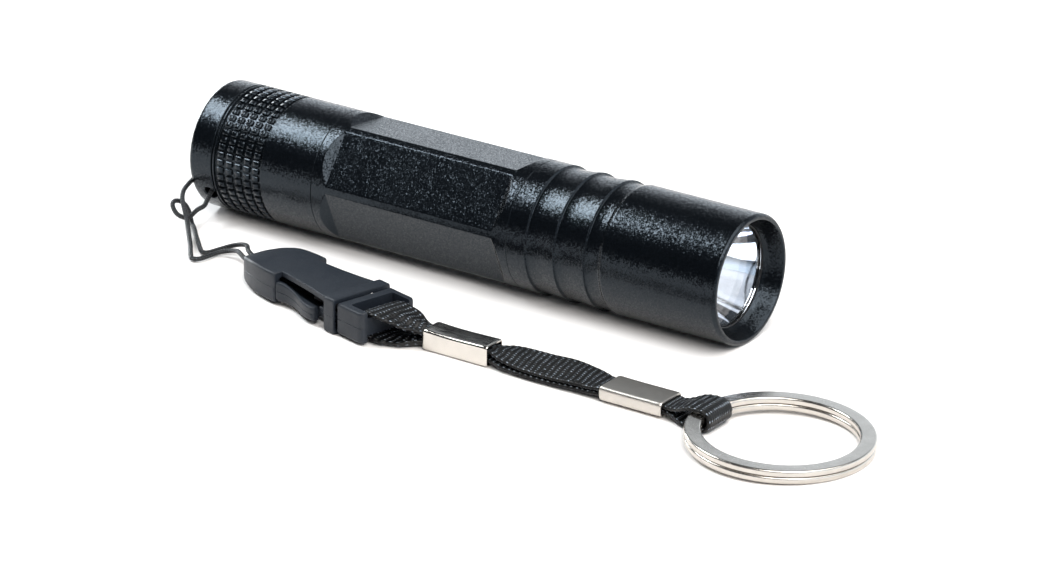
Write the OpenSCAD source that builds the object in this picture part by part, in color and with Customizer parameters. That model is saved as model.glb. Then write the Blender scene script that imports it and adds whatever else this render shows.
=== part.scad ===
// Keychain flashlight for one AA cell, with a buckled webbing lanyard and a split ring.
// Millimetres. The beam points along +X and the flashlight lies on the plane z = 0.

/* [Flashlight] */
// Outer diameter of the barrel
body_d = 20.5; // [20.3:0.1:21.5]
// Overall length from the tail rim to the bezel rim
body_len = 98.8; // [98.8:0.1:104]
// Outside length of the tail cap
tail_len = 24.1; // [24:0.1:25]
// Distance across the flats of the hexagonal grip
grip_af = 18.3; // [17.6:0.1:19]
// Angle that the grip is rolled about the beam
grip_roll = 54.2; // [0:0.1:60]
// Depth of the three rings turned into the head
ring_depth = 0.42; // [0.2:0.02:0.6]

/* [Cell] */
// Diameter of the AA cell
cell_d = 14.2; // [13.5:0.1:14.5]
// Length of the AA cell, with its positive nub
cell_len = 50.2; // [49.2:0.1:50.5]

/* [Button] */
// Diameter of the rubber button
button_d = 10.4; // [8:0.1:10.6]
// Travel of the button
button_travel = 1.4; // [0.8:0.1:1.5]

/* [Lens] */
// Diameter of the clear opening in front of the lens
aperture_d = 16; // [12:0.1:16.6]
// Depth of the bezel in front of the lens
bezel_depth = 3; // [1.5:0.1:3.5]
// Thickness of the lens
lens_t = 1.5; // [1:0.1:2]

/* [Lanyard] */
// Diameter of the braided cord
cord_d = 0.9; // [0.6:0.1:1]
// Width of the webbing
web_w = 7.4; // [6:0.1:7.6]
// Thickness of one layer of webbing
web_t = 0.8; // [0.5:0.05:0.85]
// Outer diameter of the split ring
ring_d = 28; // [26:0.5:30]
// Radial width of the split ring's wire
ring_w = 2.45; // [2:0.05:2.5]

/* [Hidden] */
$fn = 96;

body_r = body_d / 2;
gap = 0.05;              // running clearance between a thread's crest and its bore
thread_r = 8.7;          // crest of the male threads
bore_r = thread_r + gap; // female bores, plain at the thread's crest
thread_pitch = 1;
thread_depth = 0.45;
tube_r = 7.45;           // inside of the body tube

// Stations along the beam, from the tail rim
parting_tail = tail_len;
parting_head = body_len - 37.7;
recess_end = 4.9;        // floor of the tail recess
web_end = 6.5;           // back of the wall that holds the button
switch_end = 15.6;       // end of the switch pocket
tube_start = 16;
tube_end = body_len - 28.8;
cell_start = 17.6;
cell_end = cell_start + cell_len;
nub_len = 1;
pill_start = tube_end + 0.1;
board_start = pill_start + 9;
board_t = 1;
lens_front = body_len - bezel_depth - 0.3;
lens_back = lens_front - lens_t;
mirror_front = lens_back - 0.1;
mirror_back = board_start + board_t + 0.1;

module along(x = 0) {
    translate([x - body_len / 2, 0, body_r]) rotate([0, 90, 0]) children();
}

// A ring or disc on the beam's axis
module tube_piece(x0, x1, outer, inner = 0) {
    along(x0) difference() {
        cylinder(r = outer, h = x1 - x0);
        if (inner > 0) translate([0, 0, -1]) cylinder(r = inner, h = x1 - x0 + 2);
    }
}

// Radius and station pairs are turned about the beam's axis
module turned(outline) {
    along() rotate_extrude() polygon(outline);
}

// Outline points of a run of V grooves from station a on, each one pitch long
function thread(a, turns) = [for (i = [0 : turns - 1], s = [0 : 2])
    [s == 1 ? thread_r - thread_depth : thread_r, a + (i + [0.1, 0.5, 0.9][s]) * thread_pitch]];

// ---- Tail cap and switch ----
knurl_start = 5.65;
knurl_pitch = 1.73;
knurl_pad = 1.2;         // length of a pad along the beam
knurl_cut = 0.35;
hole_angle = 31;         // the lanyard hole, below the horizontal
hole_x = 3.4;
hole_r = 1.1;
recess_r = 7.2;
rim_round = 0.9;

module tail_cap() {
    cut_w = knurl_pitch - knurl_pad;
    grooves = [for (i = [0 : 5], s = [0 : 3])
        [s == 1 || s == 2 ? body_r - knurl_cut : body_r,
         knurl_start + i * knurl_pitch - [cut_w, cut_w - 0.1, 0.1, 0][s]]];
    color("#2b2f35") difference() {
        turned(concat(
            [[recess_r + 0.6, 0], [body_r - rim_round, 0]],
            [for (a = [15 : 15 : 75])
                [body_r - rim_round * (1 - sin(a)), rim_round * (1 - cos(a))]],
            [[body_r, rim_round], [body_r, 4.5], [body_r - 0.3, 4.6], [body_r - 0.3, 4.75], [body_r, 4.85]],
            grooves,
            [[body_r, parting_tail - 0.15], [body_r - 0.15, parting_tail], [bore_r, parting_tail],
             [bore_r, switch_end], [7.6, switch_end], [7.6, web_end], [button_d / 2 + 0.3, web_end],
             [button_d / 2 + 0.3, recess_end], [recess_r, recess_end], [recess_r, 0.6]]));
        translate([hole_x - body_len / 2, 0, body_r]) rotate([90 + hole_angle, 0, 0])
            cylinder(r = hole_r, h = body_d);
    }
}

module button_pad() {
    r = button_d / 2;
    color("#1d1f22") turned([[0, 0.7], [r * 0.45, 0.8], [r * 0.8, 1.1], [r * 0.95, 1.5], [r, 2.1],
                             [r, web_end + 0.8], [0, web_end + 0.8]]);
}

module boot_flange() {
    color("#1d1f22") tube_piece(web_end + 0.02, web_end + 0.85, 7.5, button_d / 2 + 0.3);
}

module switch_housing() {
    front = web_end + 0.9;
    pocket = front + button_travel + 0.6;
    color("#3c4046") turned([[5.8, front], [7.5, front], [7.5, 14], [0, 14], [0, 13.3], [2.08, 13.3],
                             [2.08, pocket], [5.8, pocket]]);
}

module switch_plunger() {
    start = web_end + 0.82;
    color("#d8d2c0") tube_piece(start, 13.2 - button_travel, 2);
}

module switch_ring() {
    color("#b7bbc0") difference() {
        tube_piece(14.4, 15.5, 7.55, 5.6);
        for (s = [-1, 1])
            translate([15.1 - body_len / 2, s * 6.6, body_r]) cube([1, 1.2, 1.4], center = true);
    }
}

module contact_plate() {
    color("#c9a24a") tube_piece(14.05, 14.35, 5.4);
}

// A tube of a given radius swept along points: rings square to the path, closed at both ends
function unit(v) = v / norm(v);
function heading(p, i) = unit(p[min(i + 1, len(p) - 1)] - p[max(i - 1, 0)]);
function side(t, last) = unit(last - (last * t) * t);
function sides(p, i, last) = i == len(p) ? [] :
    let (s = side(heading(p, i), last)) concat([s], sides(p, i + 1, s));
module swept(p, r, n, start_side) {
    s = sides(p, 0, start_side);
    rings = [for (i = [0 : len(p) - 1], k = [0 : n - 1])
        let (b = cross(heading(p, i), s[i]), a = 360 * k / n) p[i] + r * (cos(a) * s[i] + sin(a) * b)];
    last = (len(p) - 1) * n;
    faces = concat(
        [[for (k = [0 : n - 1]) k]],
        [[for (k = [n - 1 : -1 : 0]) last + k]],
        [for (i = [0 : len(p) - 2], k = [0 : n - 1])
            [i * n + k, (i + 1) * n + k, (i + 1) * n + (k + 1) % n, i * n + (k + 1) % n]]);
    polyhedron(rings, faces);
}

// Conical coil on the beam's axis from station x0 to x1
module coil(x0, x1, r0, r1, wire, turns) {
    steps = 12 * turns;
    swept([for (i = [0 : steps])
        let (f = i / steps, r = r0 + (r1 - r0) * f, a = 30 * i)
        [x0 + (x1 - x0) * f - body_len / 2, r * cos(a), body_r + r * sin(a)]], wire / 2, 6, [1, 0, 0]);
}

module tail_spring() {
    color("#c9a24a") coil(14.8, cell_start - 0.45, 4.6, 3.2, 0.8, 3);
}

// ---- Cell ----
module battery_can() {
    color("#3f6f86") tube_piece(cell_start, cell_end - nub_len, cell_d / 2);
}

module battery_nub() {
    color("#c8ccd0") tube_piece(cell_end - nub_len, cell_end, 2.7);
}

// ---- Body tube ----
o_ring_r = 0.42;
o_ring_at = 8.3;         // radius of the O-ring's centre
groove_r = 7.85;
tail_o_x = parting_tail - 1.5;
head_o_x = parting_head + 1.5;
flat_start = 26.9;
flat_end = parting_head - 2.8;
shoulder_angle = 38.5;   // slope of the shoulders at the ends of the flats

module body_tube() {
    spread = (body_r + 1 - grip_af / 2) / tan(shoulder_angle);
    color("#2b2f35") difference() {
        turned(concat(
            [[tube_r, tube_start], [thread_r - 0.4, tube_start], [thread_r, tube_start + 0.4]],
            thread(tube_start + 0.5, 5),
            [[thread_r, tail_o_x - 0.55], [groove_r, tail_o_x - 0.55], [groove_r, tail_o_x + 0.55],
             [thread_r, tail_o_x + 0.55], [thread_r, parting_tail + 0.02],
             [body_r - 0.15, parting_tail + 0.02], [body_r, parting_tail + 0.17],
             [body_r, parting_head - 0.17], [body_r - 0.15, parting_head - 0.02],
             [thread_r, parting_head - 0.02], [thread_r, head_o_x - 0.55], [groove_r, head_o_x - 0.55],
             [groove_r, head_o_x + 0.55], [thread_r, head_o_x + 0.55]],
            thread(head_o_x + 0.9, 5),
            [[thread_r, tube_end - 0.4], [thread_r - 0.4, tube_end], [tube_r, tube_end]]));
        for (k = [0 : 5])
            translate([-body_len / 2, 0, body_r]) rotate([grip_roll + 60 * k, 0, 0])
                rotate([90, 0, 0]) translate([0, 0, -7]) linear_extrude(14)
                    polygon([[flat_start, grip_af / 2], [flat_end, grip_af / 2],
                             [flat_end + spread, body_r + 1], [flat_start - spread, body_r + 1]]);
    }
}

module o_ring(x) {
    color("#17181a") along(x) rotate_extrude() translate([o_ring_at, 0]) circle(r = o_ring_r, $fn = 32);
}
module tail_o_ring() { o_ring(tail_o_x); }
module head_o_ring() { o_ring(head_o_x); }

// ---- Head ----
ring_x = [64.5, 69.7, 75.2];
ring_run = 2.6;

module head_shell() {
    rings = [for (e = ring_x, s = [0 : 3])
        [body_r - ring_depth * [0, 0.7, 1, 0.8][s], e + [0, 0.35, 1.4, ring_run][s]]];
    face = body_len - bezel_depth;
    color("#2b2f35") turned(concat(
        [[bore_r, parting_head], [body_r - 0.15, parting_head], [body_r, parting_head + 0.15]],
        rings,
        [[body_r, 78.3], [body_r, body_len - 0.5], [body_r - 0.35, body_len], [9.37, body_len],
         [8.95, face + 1.9], [8.45, face + 0.6], [aperture_d / 2, face], [bore_r, face]]));
}

module lens() {
    color("#dfe8ee", 0.35) tube_piece(lens_back, lens_front, thread_r);
}

module lens_gasket() {
    color("#17181a") tube_piece(lens_front + 0.01, body_len - bezel_depth - 0.01, thread_r, aperture_d / 2);
}

module reflector() {
    depth = mirror_front - mirror_back + 0.2;
    edge = aperture_d / 2;
    hole = 2.6;
    floor_x = mirror_front - depth;
    wall = 0.9;
    flange_r = 8.4;
    function bowl(r) = floor_x + depth * pow(r / edge, 2);
    inside = [for (i = [0 : 14]) let (r = hole + (edge - hole) * i / 14) [r, bowl(r)]];
    outside = [for (i = [12 : -1 : 2]) let (r = hole + (edge - hole) * i / 14) [r + wall, bowl(r) - 0.3]];
    color("#e8eaec") turned(concat(
        [[hole, mirror_back]], inside,
        [[flange_r, mirror_front], [flange_r, mirror_front - 1.2]],
        outside, [[4.6, mirror_back]]));
}

module led_dome() {
    color("#f2e27a") along(board_start + board_t + 0.72) difference() {
        sphere(r = 1.25, $fn = 48);
        translate([0, 0, -2]) cube(4, center = true);
    }
}

module led_package() {
    color("#f4f4f0") along(board_start + board_t + 0.36) cube([3.45, 3.45, 0.7], center = true);
}

module led_board() {
    color("#e9ebe8") tube_piece(board_start, board_start + board_t, 8);
}

module led_pill() {
    color("#c9a24a") turned([[7, pill_start], [8.4, pill_start], [8.4, board_start - 0.02],
                             [0, board_start - 0.02], [0, board_start - 3], [7, board_start - 3]]);
}

module driver_board() {
    color("#2f6b45") tube_piece(pill_start + 1, pill_start + 2.2, 6.95);
}

module driver_spring() {
    color("#c9a24a") coil(pill_start + 0.6, cell_end + 0.4, 3.6, 2, 0.7, 3);
}

// ---- Lanyard: cord ----
cord_route = [
    [-26.7, -23.4, 2.2], [-28.6, -22.7, 2.4], [-30.4, -21.5, 2.4], [-32.3, -19.9, 1.9], [-34.3, -19.0, 1.2],
    [-35.8, -19.4, 0.8], [-36.5, -20.6, 0.6], [-36.7, -22.1, 0.6], [-37.1, -23.4, 0.6], [-38.0, -23.9, 0.6],
    [-38.9, -23.1, 0.6], [-39.9, -21.9, 0.7], [-41.6, -19.8, 0.9], [-43.6, -17.6, 1.4], [-45.6, -15.4, 2.3],
    [-47.2, -13.9, 3.2], [-48.6, -12.7, 4.4], [-49.6, -11.2, 5.2], [-50.1, -9.3, 5.7], [-50.2, -7.4, 6.2],
    [-49.5, -5.9, 6.7], [-48.0, -5.5, 6.9], [-46.7, -5.9, 6.7], [-46.1, -7.0, 6.1], [-46.0, -8.5, 5.2],
    [-45.7, -10.0, 4.4], [-45.3, -11.4, 3.8], [-45.7, -12.7, 3.4], [-46.9, -13.6, 2.1], [-48.3, -14.4, 2.6],
    [-49.5, -14.1, 3.7], [-50.0, -12.8, 4.0], [-49.3, -11.7, 3.5], [-47.9, -12.0, 2.5], [-46.5, -13.0, 1.0],
    [-44.9, -14.5, 1.0], [-43.1, -16.4, 0.9], [-41.1, -18.4, 0.8], [-39.5, -20.0, 0.7], [-38.5, -20.8, 0.6],
    [-37.7, -20.6, 0.6], [-37.3, -19.7, 0.6], [-36.6, -18.5, 0.8], [-35.3, -17.6, 1.3], [-33.4, -17.6, 2.0],
    [-31.4, -18.6, 2.6], [-29.8, -20.3, 2.7], [-28.2, -21.3, 2.6], [-26.4, -22.3, 2.3]];

module lanyard_cord() {
    color("#24272b") swept(cord_route, cord_d / 2, 8, [0, 0, 1]);
}

// ---- Lanyard: side-release buckle ----
buckle_at = [-27.35, -22.6];
buckle_turn = -14.85;
case_z = [0.45, 5.35];
plate_t = 0.95;
case_len = 24.6;         // nose to collar
collar_len = 2.4;
collar_hw = 5.6;
collar_h = 5.8;
mouth_hw = 5.2;          // half width of the collar's opening
mouth_z = [0.75, 5.05];
window_x = 12.2;
plug_x = 27.5;
plug_len = 5.8;
plug_hw = 5.3;
plug_z = [0.4, 5.4];
bar_x = [31.4, 33];      // rear bar that the webbing goes round
bar_z = [1.5, 4.3];
opening_hw = 4.0;        // half width of the space that the webbing fills
prong_z = [0.8, 3.7];

module in_buckle() {
    translate([buckle_at[0], buckle_at[1], 0]) rotate([0, 0, buckle_turn]) children();
}

module slab(x, hw, z) {
    translate([x[0], -hw, z[0]]) cube([x[1] - x[0], 2 * hw, z[1] - z[0]]);
}

module buckle_socket() {
    half = [[0, 1.4], [0.6, 2.0], [2, 3.0], [4.2, 4.1], [7, 4.9], [9.6, 5.25], [window_x, 5.2],
            [window_x, 2.4], [15.5, 2.5], [case_len + 0.2, 4.2]];
    outline = concat(half, [for (i = [len(half) - 1 : -1 : 0]) [half[i][0], -half[i][1]]]);
    color("#3b414b") in_buckle() difference() {
        union() {
            intersection() {
                translate([0, 0, case_z[0]]) linear_extrude(case_z[1] - case_z[0]) polygon(outline);
                rotate([90, 0, 0]) translate([0, 0, -8]) linear_extrude(16)
                    polygon([[0, 0.9], [0.8, case_z[0]], [30, case_z[0]], [30, case_z[1]], [7, case_z[1]],
                             [3.2, 4.7], [0.8, 3.9], [0, 3.4]]);
            }
            slab([case_len, case_len + collar_len], collar_hw, [0, collar_h]);
        }
        slab([9, case_len + 0.1], 8, [case_z[0] + plate_t, case_z[1] - plate_t]);
        slab([case_len, case_len + collar_len + 1], mouth_hw, mouth_z);
        slab([1, 10], 1.4, [1.5, 3.2]);
        slab([-1, 2], 1.4, [1.5, 3.2]);
    }
}

module buckle_plug() {
    color("#3b414b") in_buckle() {
        difference() {
            union() {
                slab([plug_x, bar_x[0] + 0.4], plug_hw, plug_z);
                slab([bar_x[0], plug_x + plug_len], plug_hw, plug_z);
            }
            slab([plug_x + 1.8, bar_x[0]], opening_hw, [-1, 7]);
            slab([bar_x[0] - 0.1, plug_x + plug_len + 1], opening_hw, [bar_z[1], 7]);
            slab([bar_x[0] - 0.1, plug_x + plug_len + 1], opening_hw, [-1, bar_z[0]]);
            slab([bar_x[1], plug_x + plug_len + 1], opening_hw, [-1, 7]);
        }
        slab([17, plug_x + 0.2], 1.6, [1.7, 4.1]);
    }
}

module prong(s) {
    pad = [[12.5, 5.1], [13.6, 4.6], [15.2, 4.45], [17, 4.75], [19, 5.4], [20.8, 5.75], [22.3, 5.7],
           [22.3, 4.5], [19, 4.3], [15, 3.85], [12.5, 3.95]];
    neck = [[19, 3.8], [27.4, 3.6], [27.4, 4.5], [19, 4.5]];
    color("#3b414b") in_buckle() scale([1, s, 1]) {
        translate([0, 0, prong_z[0]]) linear_extrude(prong_z[1] - prong_z[0]) polygon(pad);
        translate([0, 0, 1.7]) linear_extrude(1.6) polygon(neck);
    }
}
module prong_near() { prong(-1); }
module prong_far() { prong(1); }

// ---- Lanyard: webbing, crimps and split ring ----
lane_y = -29.4;
crimp_a = [11.4, 23.1];
crimp_a_hw = 2.15;
crimp_a_z = [0.05, 3.45];
crimp_b = [43.7, 54.5];
crimp_b_hw = 2.9;
crimp_b_z = [0.3, 2.6];
sleeve_t = 0.3;
swing_x = 55.4;          // where the end loop bends out of its crimp
swing_z = 1.6;
ring_at = [73.7, -30.0, 1.5];
ring_h = 2.1;
ring_tilt = 1.8;

module sleeve(x, hw, z) {
    translate([0, lane_y, 0]) difference() {
        slab(x, hw, z);
        slab([x[0] - 1, x[1] + 1], hw - sleeve_t, [z[0] + sleeve_t, z[1] - sleeve_t]);
    }
}
module crimp_buckle_end() { color("#b9bcbf") sleeve(crimp_a, crimp_a_hw, crimp_a_z); }
module crimp_ring_end() { color("#c6c3bd") sleeve(crimp_b, crimp_b_hw, crimp_b_z); }

// Thin cross slice of webbing, square to X
module slice(x, y, hw, z) {
    translate([x, y - hw, z[0]]) cube([0.05, 2 * hw, z[1] - z[0]]);
}

module strap_webbing() {
    hw = web_w / 2;
    top = [bar_z[1] + gap, bar_z[1] + gap + web_t];
    low = [bar_z[0] - gap - web_t, bar_z[0] - gap];
    wrap = [bar_x[0] - gap - web_t, bar_x[1] + 0.4];
    inner_a = [crimp_a_z[0] + sleeve_t + gap, crimp_a_z[1] - sleeve_t - gap];
    inner_b = [crimp_b_z[0] + sleeve_t + gap, crimp_b_z[1] - sleeve_t - gap];
    fit_a = crimp_a_hw - sleeve_t - gap;
    fit_b = crimp_b_hw - sleeve_t - gap;
    color("#202327") {
        in_buckle() {
            slab([wrap[0], wrap[0] + web_t], hw, [low[0], top[1]]);
            slab(wrap, hw, top);
            slab(wrap, hw, low);
        }
        hull() {
            in_buckle() slice(wrap[1], 0, hw, top);
            slice(crimp_a[0], lane_y, fit_a, [1.75, inner_a[1]]);
        }
        hull() {
            in_buckle() slice(wrap[1], 0, hw, low);
            slice(crimp_a[0], lane_y, fit_a, [inner_a[0], 1.7]);
        }
        translate([0, lane_y, 0]) {
            slab([crimp_a[0], crimp_a[1] + 0.1], fit_a, inner_a);
            hull() { slice(crimp_a[1], 0, fit_a, inner_a); slice(31, 0, 2.7, [0.15, 2.9]); }
            hull() { slice(31, 0, 2.7, [0.15, 2.9]); slice(38, 0.3, 3.1, [0.1, 2.5]); }
            hull() { slice(38, 0.3, 3.1, [0.1, 2.5]); slice(crimp_b[0], 0, fit_b, inner_b); }
            slab([crimp_b[0], crimp_b[1] - 0.05], fit_b, inner_b);
        }
    }
}

module strap_loop() {
    x_in = ring_at[0] - ring_d / 2 - 0.25;       // the space that the ring's wire runs through
    x_out = ring_at[0] - ring_d / 2 + ring_w + 0.75;
    neck_x = swing_x + 2;                        // even as far as here, so that it clears its crimp upright
    neck_t = 0.8;
    z_low = 0.72;
    z_top = 3.05;
    hw = 3.3;
    color("#202327") translate([0, ring_at[1] + hw, 0]) rotate([90, 0, 0]) linear_extrude(2 * hw)
        difference() {
            union() {
                translate([swing_x, swing_z]) circle(r = neck_t);
                polygon([[swing_x, swing_z - neck_t], [neck_x, swing_z - neck_t], [x_in, 0], [x_out + 0.3, 0],
                         [x_out + 0.75, 0.6], [x_out + web_t, 1.8], [x_out + 0.7, 3.1],
                         [x_out + 0.2, z_top + web_t], [x_in, z_top + web_t],
                         [neck_x, swing_z + neck_t], [swing_x, swing_z + neck_t]]);
            }
            polygon([[x_in, z_low], [x_out - 0.2, z_low], [x_out, z_low + 0.2], [x_out, z_top - 0.2],
                     [x_out - 0.2, z_top], [x_in, z_top]]);
        }
}

// Two flat coils, one on the other, with a fine groove between them
module split_ring() {
    r0 = ring_d / 2 - ring_w;
    r1 = ring_d / 2;
    h = ring_h / 2;
    e = 0.25;
    color("#c6c3bd") translate(ring_at) rotate([0, ring_tilt, 0]) difference() {
        rotate_extrude($fn = 128) polygon([
            [r0 + e, -h], [r1 - e, -h], [r1, -h + e], [r1, -e], [r1 - e, 0], [r1, e], [r1, h - e],
            [r1 - e, h], [r0 + e, h], [r0, h - e], [r0, e], [r0 + e, 0], [r0, -e], [r0, -h + e]]);
        rotate([0, 0, 205]) translate([r0 - 1, 0, 0.1]) cube([ring_w + 2, 0.3, h]);
    }
}

tail_cap();
button_pad();
boot_flange();
switch_housing();
switch_plunger();
switch_ring();
contact_plate();
tail_spring();
battery_can();
battery_nub();
body_tube();
tail_o_ring();
head_o_ring();
head_shell();
lens();
lens_gasket();
reflector();
led_dome();
led_package();
led_board();
led_pill();
driver_board();
driver_spring();
lanyard_cord();
buckle_socket();
buckle_plug();
prong_near();
prong_far();
strap_webbing();
crimp_buckle_end();
crimp_ring_end();
strap_loop();
split_ring();
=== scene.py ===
"""The looks of a keychain flashlight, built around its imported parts, in metres, in their frame."""
import math

import bmesh
import bpy
import numpy as np
from mathutils import Matrix, Vector


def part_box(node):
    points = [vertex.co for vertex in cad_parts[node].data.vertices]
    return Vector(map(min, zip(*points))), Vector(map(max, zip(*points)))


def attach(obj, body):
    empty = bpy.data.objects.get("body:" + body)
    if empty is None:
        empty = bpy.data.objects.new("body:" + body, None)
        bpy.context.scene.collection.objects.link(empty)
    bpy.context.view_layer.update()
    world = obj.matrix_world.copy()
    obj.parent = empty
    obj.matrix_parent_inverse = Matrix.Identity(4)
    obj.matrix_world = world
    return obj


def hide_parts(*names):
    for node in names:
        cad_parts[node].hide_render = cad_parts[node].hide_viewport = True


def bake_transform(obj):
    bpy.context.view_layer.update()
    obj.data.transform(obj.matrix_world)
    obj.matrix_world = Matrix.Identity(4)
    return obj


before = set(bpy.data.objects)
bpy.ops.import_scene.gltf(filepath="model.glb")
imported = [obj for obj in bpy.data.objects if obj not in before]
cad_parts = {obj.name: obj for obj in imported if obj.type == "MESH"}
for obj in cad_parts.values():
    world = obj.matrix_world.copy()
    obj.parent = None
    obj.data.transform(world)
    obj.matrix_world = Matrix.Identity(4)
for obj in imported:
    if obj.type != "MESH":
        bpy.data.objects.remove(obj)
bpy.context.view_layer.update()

bl_info = {
    "name": "Keychain flashlight",
    "version": (1, 0, 0),
    "blender": (4, 5, 0),
    "location": "3D View > Sidebar > Flashlight",
    "description": "Builds a pocket flashlight with a buckled lanyard and a split ring",
    "category": "Add Mesh",
}

MM = 0.001
TAIL_LOW, TAIL_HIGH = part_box("tail_cap")
TUBE_LOW, TUBE_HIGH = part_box("body_tube")
HEAD_LOW, HEAD_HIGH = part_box("head_shell")
AXIS_Z = (TAIL_LOW.z + TAIL_HIGH.z) / 2 / MM
BODY_R = (TAIL_HIGH.z - TAIL_LOW.z) / 2 / MM
TAIL_X = TAIL_LOW.x / MM


def station(x):
    """How far a place in the frame, in metres, is from the tail rim, in millimetres."""
    return x / MM - TAIL_X


TAIL_END = station(TAIL_HIGH.x)
TUBE_START, TUBE_END = station(TUBE_LOW.x), station(TUBE_HIGH.x)
HEAD_START, RIM = station(HEAD_LOW.x), station(HEAD_HIGH.x)
LENS_BACK, LENS_FRONT = (station(c.x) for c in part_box("lens"))
MIRROR_BACK, MIRROR_FRONT = (station(c.x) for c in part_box("reflector"))
CELL_START, CELL_END = station(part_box("battery_can")[0].x), station(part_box("battery_nub")[1].x)
BOARD_FRONT = station(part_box("led_board")[1].x)

# The buckle's nose and the way it points, in millimetres and degrees
BUCKLE_AT = (-27.35, -22.6)
BUCKLE_TURN = -14.85
LANE_Y = -29.4           # the middle of the webbing between its crimps


def linear(code):
    """A hex sRGB colour as the linear colour that a shader takes."""
    parts = [int(code[i:i + 2], 16) / 255 for i in (1, 3, 5)]
    return tuple(c / 12.92 if c <= 0.04045 else ((c + 0.055) / 1.055) ** 2.4 for c in parts)


# ---- What a user may change ----
def length(name, text, default, low, high):
    return bpy.props.FloatProperty(name=name, description=text, default=default * MM, min=low * MM,
                                   max=high * MM, precision=5, unit="LENGTH")


def colour(name, text, code):
    return bpy.props.FloatVectorProperty(name=name, description=text, default=linear(code), min=0, max=1,
                                         size=3, subtype="COLOR")


class FlashlightSizes(bpy.types.PropertyGroup):
    """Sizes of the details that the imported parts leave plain"""
    knurl_around: bpy.props.IntProperty(
        name="Knurl pads around", description="Pads in each ring of the knurled band", default=51, min=24,
        max=80)
    knurl_slit: length("Knurl slit", "Width of the slits between the pads of a ring", 0.3, 0.1, 0.6)
    edge: length("Edge", "Width of the broken edges of the turned parts", 0.13, 0.05, 0.3)
    grit: length("Grit", "Size of the dimples that bead blasting leaves", 0.19, 0.05, 0.5)
    rib_pitch: length("Rib pitch", "Distance between the webbing's cross ribs", 1.0, 0.6, 2)
    yarn_pitch: length("Yarn pitch", "Distance between the webbing's lengthwise yarns", 0.56, 0.2, 1)
    spring_wire: length("Spring wire", "Diameter of the contact springs' wire", 0.7, 0.4, 0.8)


class FlashlightColours(bpy.types.PropertyGroup):
    """Colours of the finishes"""
    anodised: colour("Anodised aluminium", "Dyed oxide of the barrel", "#05070A")
    buckle: colour("Buckle", "Moulded acetal of the buckle", "#171D25")
    nylon: colour("Nylon", "Dyed yarn of the webbing and the cord", "#0A0B0D")
    nickel: colour("Nickel", "Plating of the split ring and the crimps", "#C9C4BD")
    sleeve: colour("Cell sleeve", "Shrink sleeve of the cell", "#27485A")
    floor: colour("Floor", "Pale floor", "#F6F3F1")


# ---- Mesh tools: a shape is a list of points in millimetres and a list of faces ----
def angles(count):
    """Even steps round a circle."""
    return np.linspace(0, 2 * math.pi, count, endpoint=False)


def share(value, low, high):
    """How far a value is from low to high, from 0 to 1."""
    return min(max((value - low) / (high - low), 0), 1)


def arc_corner(before, corner, after, radius, steps):
    """Points of a round corner, in any number of dimensions."""
    c = np.array(corner, float)
    a, b = np.array(before, float) - c, np.array(after, float) - c
    la, lb = np.linalg.norm(a), np.linalg.norm(b)
    radius = min(radius, 0.49 * la, 0.49 * lb)
    if radius < 1e-4:
        return [tuple(c)]
    p, q = c + a / la * radius, c + b / lb * radius
    return [tuple((1 - t) ** 2 * p + 2 * t * (1 - t) * c + t * t * q)
            for t in np.linspace(0, 1, steps + 1)]


def outline(corners, steps=3, closed=True):
    """Corners given as (station, radius, size of the round corner) become the points of a turned outline."""
    points = []
    for i, (x, r, edge) in enumerate(corners):
        if edge == 0 or (not closed and i in (0, len(corners) - 1)):
            points.append((x, r))
            continue
        before, after = corners[i - 1][:2], corners[(i + 1) % len(corners)][:2]
        points += arc_corner(before, (x, r), after, edge, steps)
    return points


def turned(points, around=128, closed=True):
    """Station and radius pairs turned about the beam. An outline that isn't closed ends on its axis."""
    verts, rings, faces = [], [], []
    for x, r in points:
        if r < 1e-6:
            rings.append([len(verts)])
            verts.append((TAIL_X + x, 0, AXIS_Z))
            continue
        rings.append(list(range(len(verts), len(verts) + around)))
        verts += [(TAIL_X + x, -r * math.sin(a), AXIS_Z + r * math.cos(a))
                  for a in angles(around)]
    pairs = list(zip(rings, rings[1:])) + ([(rings[-1], rings[0])] if closed else [])
    for a, b in pairs:
        for k in range(around):
            n = (k + 1) % around
            if len(a) == 1 and len(b) == 1:
                break
            if len(a) == 1:
                faces.append((a[0], b[k], b[n]))
            elif len(b) == 1:
                faces.append((a[k], b[0], a[n]))
            else:
                faces.append((a[k], b[k], b[n], a[n]))
    return verts, faces


def loft(sections, loop=False):
    """A skin over sections that have the same number of points, with its ends closed unless it is a loop."""
    n = len(sections[0])
    verts = [tuple(p) for s in sections for p in s]
    faces = []
    count = len(sections)
    for i in range(count if loop else count - 1):
        a, b = i * n, (i + 1) % count * n
        faces += [(a + k, a + (k + 1) % n, b + (k + 1) % n, b + k) for k in range(n)]
    if not loop:
        faces.append(tuple(range(n)))
        faces.append(tuple(range(len(verts) - n, len(verts))))
    return verts, faces


def box_section(x, sides, heights, radius, seam=0.0, steps=4):
    """A rectangle with round corners, square to X. A seam is the fine groove where two mould halves met."""
    (y0, y1), (z0, z1) = sides, heights
    corners = [(x, y1, z0), (x, y1, z1), (x, y0, z1), (x, y0, z0)]
    middle = (z0 + z1) / 2
    points = []
    for i, c in enumerate(corners):
        points += arc_corner(corners[i - 1], c, corners[(i + 1) % 4], radius, steps)
        if seam and i in (0, 2):
            y, inward = c[1], -seam if i == 0 else seam
            rise = seam if i == 0 else -seam
            points += [(x, y, middle - rise), (x, y + inward, middle), (x, y, middle + rise)]
    return points


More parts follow.
